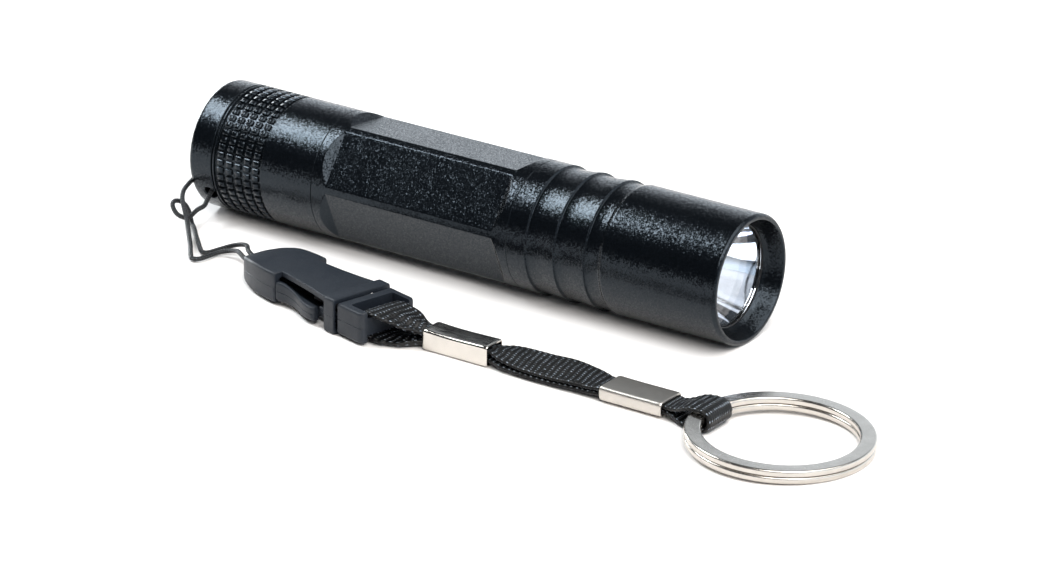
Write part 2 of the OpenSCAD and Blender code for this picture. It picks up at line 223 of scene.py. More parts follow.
def smooth_line(points, step):
    """A Catmull-Rom line through points, given again at even steps."""
    p = np.array(points, float)
    q = np.vstack([2 * p[0] - p[1], p, 2 * p[-1] - p[-2]])
    fine = []
    for i in range(len(p) - 1):
        a, b, c, d = q[i:i + 4]
        for t in np.linspace(0, 1, 12, endpoint=False):
            fine.append(0.5 * (2 * b + (c - a) * t + (2 * a - 5 * b + 4 * c - d) * t ** 2
                               + (3 * b - a - 3 * c + d) * t ** 3))
    fine = np.array(fine + [p[-1]])
    run = np.concatenate([[0], np.cumsum(np.linalg.norm(np.diff(fine, axis=0), axis=1))])
    at = np.linspace(0, run[-1], max(2, round(run[-1] / step) + 1))
    return np.stack([np.interp(at, run, fine[:, k]) for k in range(p.shape[1])], axis=1)


def eased(keys, at):
    """Values between (place, value) keys, with a smooth step from one to the next."""
    places, values = zip(*keys)
    i = min(max(np.searchsorted(places, at) - 1, 0), len(keys) - 2)
    t = share(at, places[i], places[i + 1])
    return values[i] + (values[i + 1] - values[i]) * t * t * (3 - 2 * t)


def swept(line, section, first_side):
    """A round or shaped bar along a line. section gives a station's (side, up) points from its index."""
    sections = []
    side = Vector(first_side)
    for i, p in enumerate(line):
        ahead = (Vector(line[min(i + 1, len(line) - 1)]) - Vector(line[max(i - 1, 0)])).normalized()
        side = (side - side.dot(ahead) * ahead).normalized()
        up = ahead.cross(side)
        sections.append([Vector(p) + side * s + up * u for s, u in section(i)])
    return loft(sections)


def in_buckle(shape):
    """A shape drawn along the buckle from its nose, carried to where the buckle lies."""
    verts, faces = shape
    c, s = math.cos(math.radians(BUCKLE_TURN)), math.sin(math.radians(BUCKLE_TURN))
    return [(BUCKLE_AT[0] + u * c - v * s, BUCKLE_AT[1] + u * s + v * c, z) for u, v, z in verts], faces


def placed(name, data):
    """A new object in the scene."""
    obj = bpy.data.objects.new(name, data)
    bpy.context.scene.collection.objects.link(obj)
    return obj


def filled(name, shape):
    """A mesh that holds a shape."""
    mesh = bpy.data.meshes.new(name)
    mesh.from_pydata([tuple(MM * c for c in v) for v in shape[0]], [], shape[1])
    return mesh


def outwards(mesh, merge=0):
    """Merges a mesh's doubled points, if asked to, and turns its faces outwards."""
    bm = bmesh.new()
    bm.from_mesh(mesh)
    if merge:
        bmesh.ops.remove_doubles(bm, verts=bm.verts, dist=merge)
        bmesh.ops.dissolve_degenerate(bm, edges=bm.edges, dist=1e-8)
    bmesh.ops.recalc_face_normals(bm, faces=bm.faces)
    bm.to_mesh(mesh)
    bm.free()


def new_object(name, shape, merge=1e-7):
    """An object whose mesh holds a shape, with its faces outwards and its doubled points merged."""
    mesh = filled(name, shape)
    outwards(mesh, merge)
    return placed(name, mesh)


def made_plain(obj):
    """The object keeps what its modifiers made of its mesh, and drops the modifiers."""
    bpy.context.view_layer.update()
    evaluated = obj.evaluated_get(bpy.context.evaluated_depsgraph_get())
    mesh = bpy.data.meshes.new_from_object(evaluated)
    obj.modifiers.clear()
    old, obj.data = obj.data, mesh
    bpy.data.meshes.remove(old)
    return obj


def cut(obj, shape, operation="DIFFERENCE"):
    """Takes a shape away from an object, or adds it on."""
    tool = new_object("tool", shape)
    modifier = obj.modifiers.new("cut", "BOOLEAN")
    modifier.operation, modifier.object, modifier.solver = operation, tool, "EXACT"
    made_plain(obj)
    bpy.data.objects.remove(tool)
    if not obj.data.polygons:
        raise RuntimeError(f"{obj.name} is empty after a cut")
    return obj


def broken_edges(obj, width, angle=25, segments=2):
    """Rounds the edges that are sharper than an angle."""
    modifier = obj.modifiers.new("edges", "BEVEL")
    modifier.width, modifier.segments, modifier.limit_method = width, segments, "ANGLE"
    modifier.angle_limit = math.radians(angle)
    modifier.use_clamp_overlap = True
    return made_plain(obj)


def shaded(obj, angle=32):
    """Smooth shading, apart from edges sharper than an angle, that keeps large faces flat."""
    obj.data.polygons.foreach_set("use_smooth", [True] * len(obj.data.polygons))
    obj.data.set_sharp_from_angle(angle=math.radians(angle))
    modifier = obj.modifiers.new("normals", "WEIGHTED_NORMAL")
    modifier.keep_sharp = True
    modifier.weight = 80
    return obj


def settle(obj, material, body, slot, *nodes):
    """Gives a piece its material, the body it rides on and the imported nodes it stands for."""
    obj.data.materials.clear()
    obj.data.materials.append(material)
    if body:
        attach(obj, body)
    if nodes:
        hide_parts(*nodes)
    return obj


def dress(material, *nodes):
    """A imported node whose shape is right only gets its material."""
    for name in nodes:
        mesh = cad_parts[name].data
        mesh.materials.clear()
        mesh.materials.append(material)


# ---- Geometry Nodes ----
def add(tree, kind, inputs=None, **settings):
    """Adds a node with its settings. inputs holds, by name or place, sockets to link or values to set."""
    node = tree.nodes.new(kind)
    for key, value in settings.items():
        setattr(node, key, value)
    for key, value in (inputs or {}).items():
        if isinstance(value, bpy.types.NodeSocket):
            tree.links.new(value, node.inputs[key])
        else:
            node.inputs[key].default_value = value
    return node


def maths(tree, operation, *values):
    """One sum on sockets or values."""
    return add(tree, "ShaderNodeMath", dict(enumerate(values)), operation=operation).outputs[0]


def new_tree(name, inputs):
    """A Geometry Nodes tree with named inputs, and the sockets that hold them."""
    tree = bpy.data.node_groups.new(name, "GeometryNodeTree")
    for label, kind in inputs.items():
        tree.interface.new_socket(name=label, in_out="INPUT", socket_type="NodeSocket" + kind)
    tree.interface.new_socket(name="Geometry", in_out="OUTPUT", socket_type="NodeSocketGeometry")
    return tree, add(tree, "NodeGroupInput").outputs


def finish_tree(tree, geometry, material):
    """Makes a tree's geometry real, with its material, and puts it out."""
    real = add(tree, "GeometryNodeRealizeInstances", {0: geometry})
    done = add(tree, "GeometryNodeSetMaterial", {"Geometry": real.outputs[0], "Material": material})
    add(tree, "NodeGroupOutput", {0: done.outputs[0]})
    return tree


def from_tree(name, tree, values):
    """A plain mesh object that a tree makes from values given by the names of its inputs."""
    obj = placed(name, bpy.data.meshes.new(name))
    modifier = obj.modifiers.new("nodes", "NODES")
    modifier.node_group = tree
    for item in tree.interface.items_tree:
        if item.item_type == "SOCKET" and item.in_out == "INPUT":
            modifier[item.identifier] = values[item.name]
    made_plain(obj)
    if not obj.data.polygons:
        raise RuntimeError(f"{name} came out of its nodes empty")
    return obj


def ring_array_tree():
    """Copies of a small piece on rings about the beam's axis, such as the pads of a knurl."""
    tree, g = new_tree("ring_array", {
        "Piece": "Object", "Rings": "Int", "Around": "Int", "First": "Float", "Pitch": "Float",
        "Radius": "Float", "Axis height": "Float", "Start angle": "Float", "Material": "Material"})
    count = maths(tree, "MULTIPLY", g["Rings"], g["Around"])
    line = add(tree, "GeometryNodeMeshLine", {"Count": count, "Offset": (0, 0, 0)}, mode="OFFSET")
    index = add(tree, "GeometryNodeInputIndex").outputs[0]
    part = maths(tree, "DIVIDE", maths(tree, "MODULO", index, g["Around"]), g["Around"])
    angle = maths(tree, "MULTIPLY_ADD", part, 2 * math.pi, g["Start angle"])
    ring = maths(tree, "FLOOR", maths(tree, "DIVIDE", index, g["Around"]))
    x = maths(tree, "MULTIPLY_ADD", ring, g["Pitch"], g["First"])
    y = maths(tree, "MULTIPLY", maths(tree, "SINE", angle), maths(tree, "MULTIPLY", g["Radius"], -1.0))
    z = maths(tree, "MULTIPLY_ADD", maths(tree, "COSINE", angle), g["Radius"], g["Axis height"])
    place = add(tree, "ShaderNodeCombineXYZ", {0: x, 1: y, 2: z})
    points = add(tree, "GeometryNodeSetPosition", {"Geometry": line.outputs[0], "Position": place.outputs[0]})
    euler = add(tree, "ShaderNodeCombineXYZ", {0: angle})
    turn = add(tree, "FunctionNodeEulerToRotation", {0: euler.outputs[0]})
    piece = add(tree, "GeometryNodeObjectInfo", {"Object": g["Piece"]})
    copies = add(tree, "GeometryNodeInstanceOnPoints", {
        "Points": points.outputs[0], "Instance": piece.outputs["Geometry"], "Rotation": turn.outputs[0]})
    return finish_tree(tree, copies.outputs[0], g["Material"])


def ring_array(name, piece, material, rings, around, first, pitch, radius, start=0.0):
    """Rings of a piece, whose sizes are in millimetres, as one plain mesh."""
    tree = bpy.data.node_groups.get("ring_array") or ring_array_tree()
    made = from_tree(name, tree, {
        "Piece": piece, "Rings": rings, "Around": around, "First": (TAIL_X + first) * MM,
        "Pitch": pitch * MM, "Radius": radius * MM, "Axis height": AXIS_Z * MM, "Start angle": start,
        "Material": material})
    bpy.data.objects.remove(piece)
    return made


def coil_tree():
    """A conical spring along the beam: a spiral with a round wire swept along it."""
    tree, g = new_tree("coil", {
        "Turns": "Float", "Start radius": "Float", "End radius": "Float", "Length": "Float",
        "Wire": "Float", "Start": "Vector", "Material": "Material"})
    spiral = add(tree, "GeometryNodeCurveSpiral", {
        "Resolution": 48, "Rotations": g["Turns"], "Start Radius": g["Start radius"],
        "End Radius": g["End radius"], "Height": g["Length"]})
    radius = maths(tree, "MULTIPLY", g["Wire"], 0.5)
    wire = add(tree, "GeometryNodeCurvePrimitiveCircle", {"Resolution": 12, "Radius": radius})
    skin = add(tree, "GeometryNodeCurveToMesh", {
        "Curve": spiral.outputs[0], "Profile Curve": wire.outputs[0], "Fill Caps": True})
    place = add(tree, "GeometryNodeTransform", {
        "Geometry": skin.outputs[0], "Translation": g["Start"], "Rotation": (0, math.pi / 2, 0)})
    return finish_tree(tree, place.outputs[0], g["Material"])


# ---- Materials ----
def surface(name, base, **values):
    """A material with a Principled shader whose own sockets hold what is the same all over."""
    material = bpy.data.materials.new(name)
    material.use_nodes = True
    tree = material.node_tree
    shader = tree.nodes["Principled BSDF"]
    shader.inputs["Base Color"].default_value = (*base, 1)
    for key, value in values.items():
        shader.inputs[key.replace("_", " ").title() if key != "ior" else "IOR"].default_value = value
    return material, tree, shader


def place_in(tree, size, stretch=(1, 1, 1)):
    """Object coordinates scaled so that one unit is a size in millimetres."""
    where = add(tree, "ShaderNodeTexCoord")
    scale = tuple(s / (size * MM) for s in stretch)
    return add(tree, "ShaderNodeMapping", {"Vector": where.outputs["Object"], "Scale": scale}).outputs[0]


def noise(tree, size, detail=2.0, stretch=(1, 1, 1), roughness=0.5):
    """Noise in the object's own space, with features of a size in millimetres."""
    return add(tree, "ShaderNodeTexNoise", {
        "Vector": place_in(tree, size, stretch), "Scale": 1.0, "Detail": detail,
        "Roughness": roughness}).outputs[0]


def bumped(tree, shader, height, depth):
    """Drives the shader's normal from a height that spans a depth in millimetres."""
    bump = add(tree, "ShaderNodeBump", {"Height": height, "Distance": depth * MM, "Strength": 1.0})
    tree.links.new(bump.outputs[0], shader.inputs["Normal"])


def ranged(tree, value, low, high, low_in=0.3, high_in=0.7):
    """A value carried from one range to another, held at the ends."""
    return add(tree, "ShaderNodeMapRange", {
        "Value": value, "From Min": low_in, "From Max": high_in, "To Min": low, "To Max": high}).outputs[0]


def dulled(tree, shader, value, low, high):
    """Roughness from low to high, by a value."""
    tree.links.new(ranged(tree, value, low, high), shader.inputs["Roughness"])


def varied(tree, shader, value, dark, light, low_in=0.3, high_in=0.7):
    """Colours between two, by a value."""
    mix = add(tree, "ShaderNodeMix", {0: ranged(tree, value, 0, 1, low_in, high_in), 6: (*dark, 1),
                                      7: (*light, 1)}, data_type="RGBA")
    tree.links.new(mix.outputs[2], shader.inputs["Base Color"])


def times(base, factor):
    return tuple(min(c * factor, 1) for c in base)


def anodised_aluminium(base, grit):
    """Bead-blasted, black-dyed aluminium: near black face on, slate at a slant, with glinting dimples.
    The real dimples are about 0.1 mm. They are drawn coarser so that they show."""
    material, tree, shader = surface("bead_blasted_anodised_aluminium", base, ior=1.37, roughness=0.2,
                                     specular_tint=(0.7, 0.85, 1.0, 1))
    dimples = add(tree, "ShaderNodeTexVoronoi", {"Vector": place_in(tree, grit / MM), "Scale": 1.0})
    lean = add(tree, "ShaderNodeVectorMath", {0: dimples.outputs["Color"], 1: (0.5, 0.5, 0.5)},
               operation="SUBTRACT")
    facing = add(tree, "ShaderNodeNewGeometry")
    tilted = add(tree, "ShaderNodeVectorMath", {0: lean.outputs[0], 1: (0.17, 0.17, 0.17),
                                                2: facing.outputs["Normal"]}, operation="MULTIPLY_ADD")
    unit = add(tree, "ShaderNodeVectorMath", {0: tilted.outputs[0]}, operation="NORMALIZE")
    fine = noise(tree, grit / MM * 0.7, 1.0)
    bump = add(tree, "ShaderNodeBump", {"Height": fine, "Distance": 0.012 * MM, "Strength": 1.0,
                                        "Normal": unit.outputs[0]})
    tree.links.new(bump.outputs[0], shader.inputs["Normal"])
    dulled(tree, shader, noise(tree, 6), 0.17, 0.22)
    varied(tree, shader, fine, times(base, 0.5), times(base, 1.6))
    return material


def silicone_rubber():
    """Moulded black silicone: soft and matt, with a faint bloom of dust."""
    base = linear("#17181A")
    material, tree, shader = surface("moulded_silicone_rubber", base, roughness=0.62, ior=1.42,
                                     sheen_weight=0.15, sheen_roughness=0.5)
    varied(tree, shader, noise(tree, 1.2, 4.0), times(base, 0.7), times(base, 1.6))
    bumped(tree, shader, noise(tree, 0.15), 0.02)
    return material


def moulded_plastic(name, base, rough, grain_size=0.22, grain_depth=0.03):
    """Injection-moulded plastic: its eroded mould leaves a fine grain, and handling makes it uneven."""
    material, tree, shader = surface(name, base, roughness=rough, ior=1.42)
    grain = noise(tree, grain_size, roughness=0.7)
    bumped(tree, shader, grain, grain_depth)
    dulled(tree, shader, noise(tree, 3, 3.0), rough - 0.06, rough + 0.08)
    varied(tree, shader, grain, times(base, 0.82), times(base, 1.18))
    return material


def metal(name, base, low_rough, high_rough, streak=(1, 1, 1), streak_size=0.4, depth=0.004):
    """A metal whose polish is uneven: streaks or stains turn parts of it duller."""
    material, tree, shader = surface(name, base, metallic=1.0, roughness=low_rough)
    marks = noise(tree, streak_size, 3.0, streak)
    dulled(tree, shader, marks, low_rough, high_rough)
    varied(tree, shader, noise(tree, 2.5), times(base, 0.9), base)
    bumped(tree, shader, marks, depth)
    return material


def lens_glass():
    """Coated mineral glass: clear, with a faint smear that dulls its gloss here and there."""
    material, tree, shader = surface("coated_lens_glass", linear("#F6FAFF"), roughness=0.0, ior=1.45,
                                     transmission_weight=1.0)
    dulled(tree, shader, noise(tree, 5, 3.0), 0.0, 0.02)
    return material


def phosphor_silicone():
    """Yellow phosphor under clear silicone: a deep, even yellow with a wet gloss."""
    base = linear("#F0C935")
    material, tree, shader = surface("phosphor_in_silicone", base, roughness=0.2, ior=1.41, coat_weight=1.0,
                                     coat_roughness=0.04)
    varied(tree, shader, noise(tree, 0.08), times(base, 0.8), base)
    return material


def weave_place(tree):
    """Sockets of a place in a weave: round or across, and along."""
    where = add(tree, "ShaderNodeUVMap", uv_map="weave")
    return list(add(tree, "ShaderNodeSeparateXYZ", {0: where.outputs[0]}).outputs)[:2]


def nylon_webbing(base, rib_pitch, yarn_pitch):
    """Grosgrain nylon: matt black between the ribs, with a pale painted highlight on each bead where a yarn
    crosses a rib.
    """
    material, tree, shader = surface("grosgrain_nylon_webbing", base, roughness=0.4, ior=1.36)
    across = weave_place(tree)
    beads = []
    for place, pitch in zip(across, (yarn_pitch, rib_pitch)):
        wave = maths(tree, "COSINE", maths(tree, "MULTIPLY", place, 2 * math.pi / pitch))
        beads.append(ranged(tree, wave, 0, 1, -0.7, 1.0))
    height = maths(tree, "MULTIPLY", *beads)
    fuzz = noise(tree, 0.3)
    bumped(tree, shader, maths(tree, "MULTIPLY_ADD", fuzz, 0.3, height), 0.14)
    # Painted highlight: the tops of the beads are coloured pale grey-blue to stand in for glints off the
    # glossy yarn.
    lift = maths(tree, "MULTIPLY", height, fuzz)
    varied(tree, shader, lift, times(base, 0.4), linear("#98A3AF"), 0.36, 0.5)
    return material


def braided_nylon(base, cord_d):
    """Braided cord: crossing plaits of eight strands, with painted highlights on their crowns and painted
    shade in the grooves between them.
    """
    material, tree, shader = surface("braided_nylon_cord", base, roughness=0.5, ior=1.45,
                                     sheen_weight=0.05, sheen_roughness=0.4)
    around, metres = weave_place(tree)
    along = maths(tree, "MULTIPLY", metres, 2 * math.pi / (1.3 * cord_d))
    crowns = [maths(tree, "SINE", maths(tree, "MULTIPLY_ADD", around, 2 * math.pi * hand, along))
              for hand in (-4.0, 4.0)]
    plait = maths(tree, "MULTIPLY", *crowns)
    bumped(tree, shader, plait, 0.06)
    # Painted highlight and shade: the colour follows the plaits' relief, lighter on the crowns and darker in
    # the grooves.
    varied(tree, shader, plait, times(base, 0.6), linear("#2C3137"), -0.2, 1)
    return material


def shrink_sleeve(base):
    """Printed PVC shrink sleeve: glossy and taut, with a paler band at the cell's positive end."""
    material, tree, shader = surface("shrink_sleeve", base, roughness=0.22, ior=1.53, coat_weight=0.4)
    where = add(tree, "ShaderNodeTexCoord")
    parts = add(tree, "ShaderNodeSeparateXYZ", {0: where.outputs["Object"]})
    band = (TAIL_X + CELL_END - 9) * MM
    varied(tree, shader, parts.outputs[0], base, linear("#B9BEC2"), band, band + 0.1 * MM)
    bumped(tree, shader, noise(tree, 2), 0.02)
    return material


def stage_floor(base):
    """Matt paper sweep: even and pale, with the faintest tooth."""
    material, tree, shader = surface("paper_sweep", base, roughness=0.9, ior=1.3)
    bumped(tree, shader, noise(tree, 0.5), 0.01)
    return material


FINISHES = {}


def finishes():
    """Every finish by name, made once."""
    if FINISHES:
        return FINISHES
    scene = bpy.context.scene
    c, s = scene.flashlight_colours, scene.flashlight_sizes
    nickel = tuple(c.nickel)
    FINISHES.update({
        "anodised": anodised_aluminium(tuple(c.anodised), s.grit),
        "rubber": silicone_rubber(),
        "buckle": moulded_plastic("moulded_acetal", tuple(c.buckle), 0.5),
        "dark_plastic": moulded_plastic("glass_filled_nylon", linear("#2A2D31"), 0.5),
        "white_plastic": moulded_plastic("white_thermoplastic", linear("#DAD8D0"), 0.4),
        "aluminium": metal("turned_bare_aluminium", linear("#C9CBCE"), 0.25, 0.4, (6, 1, 1), 0.5),
        "brass": metal("turned_brass", linear("#C8A050"), 0.2, 0.35, (6, 1, 1), 0.5),
        "spring": metal("nickel_plated_spring_wire", linear("#D8D2C4"), 0.15, 0.3),
        "bright_nickel": metal("bright_nickel_plate", nickel, 0.1, 0.2, (0.3, 1, 1), 0.6),
        "satin_nickel": metal("satin_nickel_plate", nickel, 0.34, 0.44, (0.2, 1, 1), 0.15, 0.008),
        "ring_nickel": metal("drawn_nickel_plated_wire", nickel, 0.17, 0.28, (1, 1, 1), 0.3),
        "mirror": metal("vacuum_aluminised_reflector", linear("#EEF1F5"), 0.035, 0.07, (1, 1, 1), 1.5),
        "glass": lens_glass(),
        "phosphor": phosphor_silicone(),
        "green_board": moulded_plastic("green_solder_mask", linear("#1E5236"), 0.3, 0.6, 0.004),
        "ceramic": moulded_plastic("white_alumina_ceramic", linear("#E6E6E0"), 0.45, 0.1, 0.004),
        "webbing": nylon_webbing(tuple(c.nylon), s.rib_pitch, s.yarn_pitch),
        "cord": braided_nylon(tuple(c.nylon), CORD_D * MM),
        "sleeve": shrink_sleeve(tuple(c.sleeve)),
        "floor": stage_floor(tuple(c.floor)),
    })
    return FINISHES


# ---- Stage ----
# The camera looks at the middle of the lanyard's side of the barrel, in millimetres and degrees
CAMERA_AT = (9.69, -1.31, 0)
CAMERA_AZIMUTH = 34.143
CAMERA_ELEVATION = 22.073
CAMERA_ROLL = 0.947
CAMERA_DISTANCE = 849.4
CAMERA_LENS = 187.97
FLOOR_HALF = 700


def aimed(obj, azimuth, elevation, distance, target, roll=0.0):
    """Puts a camera or a light round a target. Azimuth 0 is on the -Y side, and 90 is on the +X side."""
    a, e, r = (math.radians(v) for v in (azimuth, elevation, roll))
    back = Vector((math.sin(a) * math.cos(e), -math.cos(a) * math.cos(e), math.sin(e)))
    right = Vector((math.cos(a), math.sin(a), 0))
    up = back.cross(right)
    turned_right = right * math.cos(r) + up * math.sin(r)
    turned_up = up * math.cos(r) - right * math.sin(r)
    turn = Matrix((turned_right, turned_up, back)).transposed().to_4x4()
    obj.matrix_world = Matrix.Translation(MM * (Vector(target) + distance * back)) @ turn
    return obj


def softbox(name, size, power, tint, azimuth, elevation, distance, target):
    """A soft panel of light that shows in reflections and not to the camera."""
    data = bpy.data.lights.new(name, "AREA")
    data.shape, data.size, data.size_y = "RECTANGLE", size[0] * MM, size[1] * MM
    data.energy, data.color = power, tint
    lamp = placed(name, data)
    lamp.visible_camera = False
    return aimed(lamp, azimuth, elevation, distance, target)


def studio_world():
    """Pale cool surroundings behind and to the lens side of the object, and a dim room on the other side."""
    world = bpy.data.worlds.new("studio")
    bpy.context.scene.world = world
    world.use_nodes = True
    tree = world.node_tree
    tree.nodes.clear()
    way = add(tree, "ShaderNodeTexCoord").outputs["Generated"]
    side = add(tree, "ShaderNodeVectorMath", {0: way, 1: (0.62, 0.78, -0.12)}, operation="DOT_PRODUCT")
    rise = add(tree, "ShaderNodeSeparateXYZ", {0: way})
    parts = []
    for value, low, high, first, last in ((side.outputs["Value"], -0.22, 0.3, 0.0, 1.0),
                                          (rise.outputs[2], 0.2, 0.76, 1.0, 0.1)):
        spread = {"Value": value, "From Min": low, "From Max": high, "To Min": first, "To Max": last}
        step = add(tree, "ShaderNodeMapRange", spread, interpolation_type="SMOOTHSTEP")
        parts.append(step.outputs[0])
    tone = add(tree, "ShaderNodeMix", {0: maths(tree, "MULTIPLY", *parts), 6: (0.045, 0.047, 0.05, 1),
                                       7: (1.42, 1.54, 1.66, 1)}, data_type="RGBA")
    glow = add(tree, "ShaderNodeBackground", {"Color": tone.outputs[2], "Strength": 1.0})
    add(tree, "ShaderNodeOutputWorld", {"Surface": glow.outputs[0]})


class FLASHLIGHT_OT_stage(bpy.types.Operator):
    """Make the floor, the lights, the surroundings and the camera"""
    bl_idname = "flashlight.stage"
    bl_label = "Stage"

    def execute(self, context):
        corners = [(-FLOOR_HALF, -FLOOR_HALF, 0), (FLOOR_HALF, -FLOOR_HALF, 0), (FLOOR_HALF, FLOOR_HALF, 0),
                   (-FLOOR_HALF, FLOOR_HALF, 0)]
        floor = new_object("floor", (corners, [(0, 1, 2, 3)]))
        floor.data.materials.append(finishes()["floor"])
        data = bpy.data.cameras.new("camera")
        data.sensor_width, data.lens = 36, CAMERA_LENS
        data.clip_start, data.clip_end = 0.01, 20
        camera = placed("camera", data)
        aimed(camera, CAMERA_AZIMUTH, CAMERA_ELEVATION, CAMERA_DISTANCE, CAMERA_AT, CAMERA_ROLL)
        context.scene.camera = camera
        context.scene.view_settings.view_transform = "Standard"
        cool, warm = (0.92, 0.97, 1.0), (1.0, 0.98, 0.96)
        softbox("key_panel", (190, 110), 1.4, cool, -72, 52, 380, (-38, 0, 15))
        softbox("side_panel", (300, 140), 1.65, cool, -112, 8.5, 480, (-30, 0, 0))
        softbox("overhead_panel", (700, 700), 6, warm, 100, 66, 900, (10, -10, 0))
        softbox("front_panel", (700, 450), 7, warm, 44, 47, 950, (10, -10, 0))
        studio_world()
        return {"FINISHED"}


# ---- Lanyard cord ----
CORD_D = 0.75
CORD_STEP = 0.22
CORD_SIDES = 12
PLAIT = 0.7 * CORD_D
# The cord's middle: out of the buckle's nose, through the tail cap's hole, round itself and back
CORD_ROUTE = [
    (-26.7, -23.4, 2.2), (-28.6, -22.7, 2.4), (-30.4, -21.5, 2.4), (-32.3, -19.9, 1.9), (-34.3, -19.0, 1.2),
    (-35.8, -19.4, 0.8), (-36.5, -20.6, 0.6), (-36.7, -22.1, 0.6), (-37.1, -23.4, 0.6), (-38.0, -23.9, 0.6),
    (-38.9, -23.1, 0.6), (-39.9, -21.9, 0.7), (-41.6, -19.8, 0.9), (-43.6, -17.6, 1.4), (-45.6, -15.4, 2.3),
    (-47.2, -13.9, 3.2), (-48.6, -12.7, 4.4), (-49.6, -11.2, 5.2), (-50.1, -9.3, 5.7), (-50.2, -7.4, 6.2),
    (-49.5, -5.9, 6.7), (-48.0, -5.5, 6.9), (-46.7, -5.9, 6.7), (-46.1, -7.0, 6.1), (-46.0, -8.5, 5.2),
    (-45.7, -10.0, 4.4), (-45.3, -11.4, 3.8), (-45.7, -12.7, 3.4), (-46.9, -13.6, 2.1), (-48.3, -14.4, 2.6),
    (-49.5, -14.1, 3.7), (-50.0, -12.8, 4.0), (-49.3, -11.7, 3.5), (-47.9, -12.0, 2.5), (-46.5, -13.0, 1.0),
    (-44.9, -14.5, 1.0), (-43.1, -16.4, 0.9), (-41.1, -18.4, 0.8), (-39.5, -20.0, 0.7), (-38.5, -20.8, 0.6),
    (-37.7, -20.6, 0.6), (-37.3, -19.7, 0.6), (-36.6, -18.5, 0.8), (-35.3, -17.6, 1.3), (-33.4, -17.6, 2.0),
    (-31.4, -18.6, 2.6), (-29.8, -20.3, 2.7), (-28.2, -21.3, 2.6), (-26.4, -22.3, 2.3)]


def with_weave(name, shape, places):
    """An object whose UV map holds a place (round or across, along) that each point of the shape carries."""
    mesh = filled(name, shape)
    layer = mesh.uv_layers.new(name="weave")
    for polygon in mesh.polygons:
        around = [places[mesh.loops[i].vertex_index] for i in polygon.loop_indices]
        high_u, high_v = max(p[0] for p in around), max(p[1] for p in around)
        for i, (u, v, wrap_u, wrap_v) in zip(polygon.loop_indices, around):
            if wrap_u and high_u - u > wrap_u / 2:
                u += wrap_u
            if wrap_v and high_v - v > wrap_v / 2:
                v += wrap_v
            layer.data[i].uv = (u, v)
    outwards(mesh)
    mesh.polygons.foreach_set("use_smooth", [True] * len(mesh.polygons))
    return placed(name, mesh)


class FLASHLIGHT_OT_cord(bpy.types.Operator):
    """Make the braided cord, looped through the tail cap's rim and tied, with both ends in the buckle"""
    bl_idname = "flashlight.cord"
    bl_label = "Cord"

    def execute(self, context):
        line = smooth_line(CORD_ROUTE, CORD_STEP)

        def section(i):
            r = CORD_D / 2 * (1 + 0.05 * math.cos(2 * math.pi * CORD_STEP * i / PLAIT))
            return [(r * math.cos(a), r * math.sin(a)) for a in angles(CORD_SIDES)]
        shape = swept(line, section, (0, 0, 1))
        places = [(k / CORD_SIDES, i * CORD_STEP * MM, 1.0, 0)
                  for i in range(len(line)) for k in range(CORD_SIDES)]
        cord = with_weave("braided_cord", shape, places)
        settle(cord, finishes()["cord"], "tail", "black_nylon", "lanyard_cord")
        return {"FINISHED"}


# ---- Webbing ----
# The closed run of the webbing's middle, as X and Z: over the buckle's bar, through both crimps,
# round the split ring and back underneath
WEBBING_RUN = [
    (2.57, 2.9), (2.7, 4.0), (3.2, 4.6), (4.0, 4.78), (5.2, 4.72), (7.0, 4.15), (9.3, 3.1), (11.4, 2.42),
    (14, 2.38), (20, 2.38), (23.1, 2.38), (26, 2.3), (29, 2.15), (32, 2.1), (36, 2.1), (40, 2.0),
    (43.7, 1.86), (48, 1.86), (54.5, 1.86), (56.0, 2.0), (57.6, 2.5), (59.3, 3.25), (60.8, 3.46),
    (62.2, 3.4), (63.05, 2.9), (63.28, 1.9), (63.0, 0.95), (62.2, 0.45), (60.8, 0.42), (59.3, 0.48),
    (57.6, 0.8), (56.0, 1.1), (54.5, 1.06), (48, 1.06), (43.7, 1.06), (40, 1.2), (36, 1.32), (32, 1.3),
    (29, 1.3), (26, 1.2), (23.1, 1.05), (20, 1.05), (14, 1.05), (11.4, 1.05), (9.3, 0.85), (7.0, 0.7),
    (5.2, 0.85), (4.0, 1.0), (3.2, 1.15), (2.7, 1.75), (2.57, 2.9)]
# Its middle, turn, half width, hollow across and lean, by X
WEBBING_Y = [(2, -30.4), (3.8, -30.85), (5.5, -30.95), (8, -30.3), (11.4, LANE_Y), (23, LANE_Y), (31, LANE_Y),
             (38, LANE_Y + 0.3), (43.7, LANE_Y), (54.5, LANE_Y), (57, -29.9), (60, -30), (65, -30)]
WEBBING_YAW = [(3.6, BUCKLE_TURN), (9.5, 0), (65, 0)]
WEBBING_HALF = [(2, 3.7), (5.2, 3.7), (8, 3.3), (10.4, 2.2), (11.4, 1.78), (23.1, 1.78), (25.5, 2.5),
                (31, 2.75), (37, 2.95), (41.5, 2.65), (43.7, 2.5), (54.5, 2.5), (56, 2.5), (59, 3.15),
                (62, 3.3), (65, 3.3)]
WEBBING_FOLD = [(2, 0.0), (5, 0.02), (9.5, 0.3), (11.4, 0.28), (23.1, 0.15), (25.5, 0.12), (31, 0.05),
                (37, 0.08), (41.5, 0.05), (43.7, 0.0), (54.5, 0.0), (57, 0.1), (60, 0.03), (65, 0.0)]
WEBBING_ROLL = [(2, 0), (23.1, 0), (27.5, 14), (34, 15), (40, 10), (43.7, 0), (65, 0)]
WEBBING_T = 0.72
WEBBING_FLAT_HALF = 3.7
ROWS_PER_RIB = 6


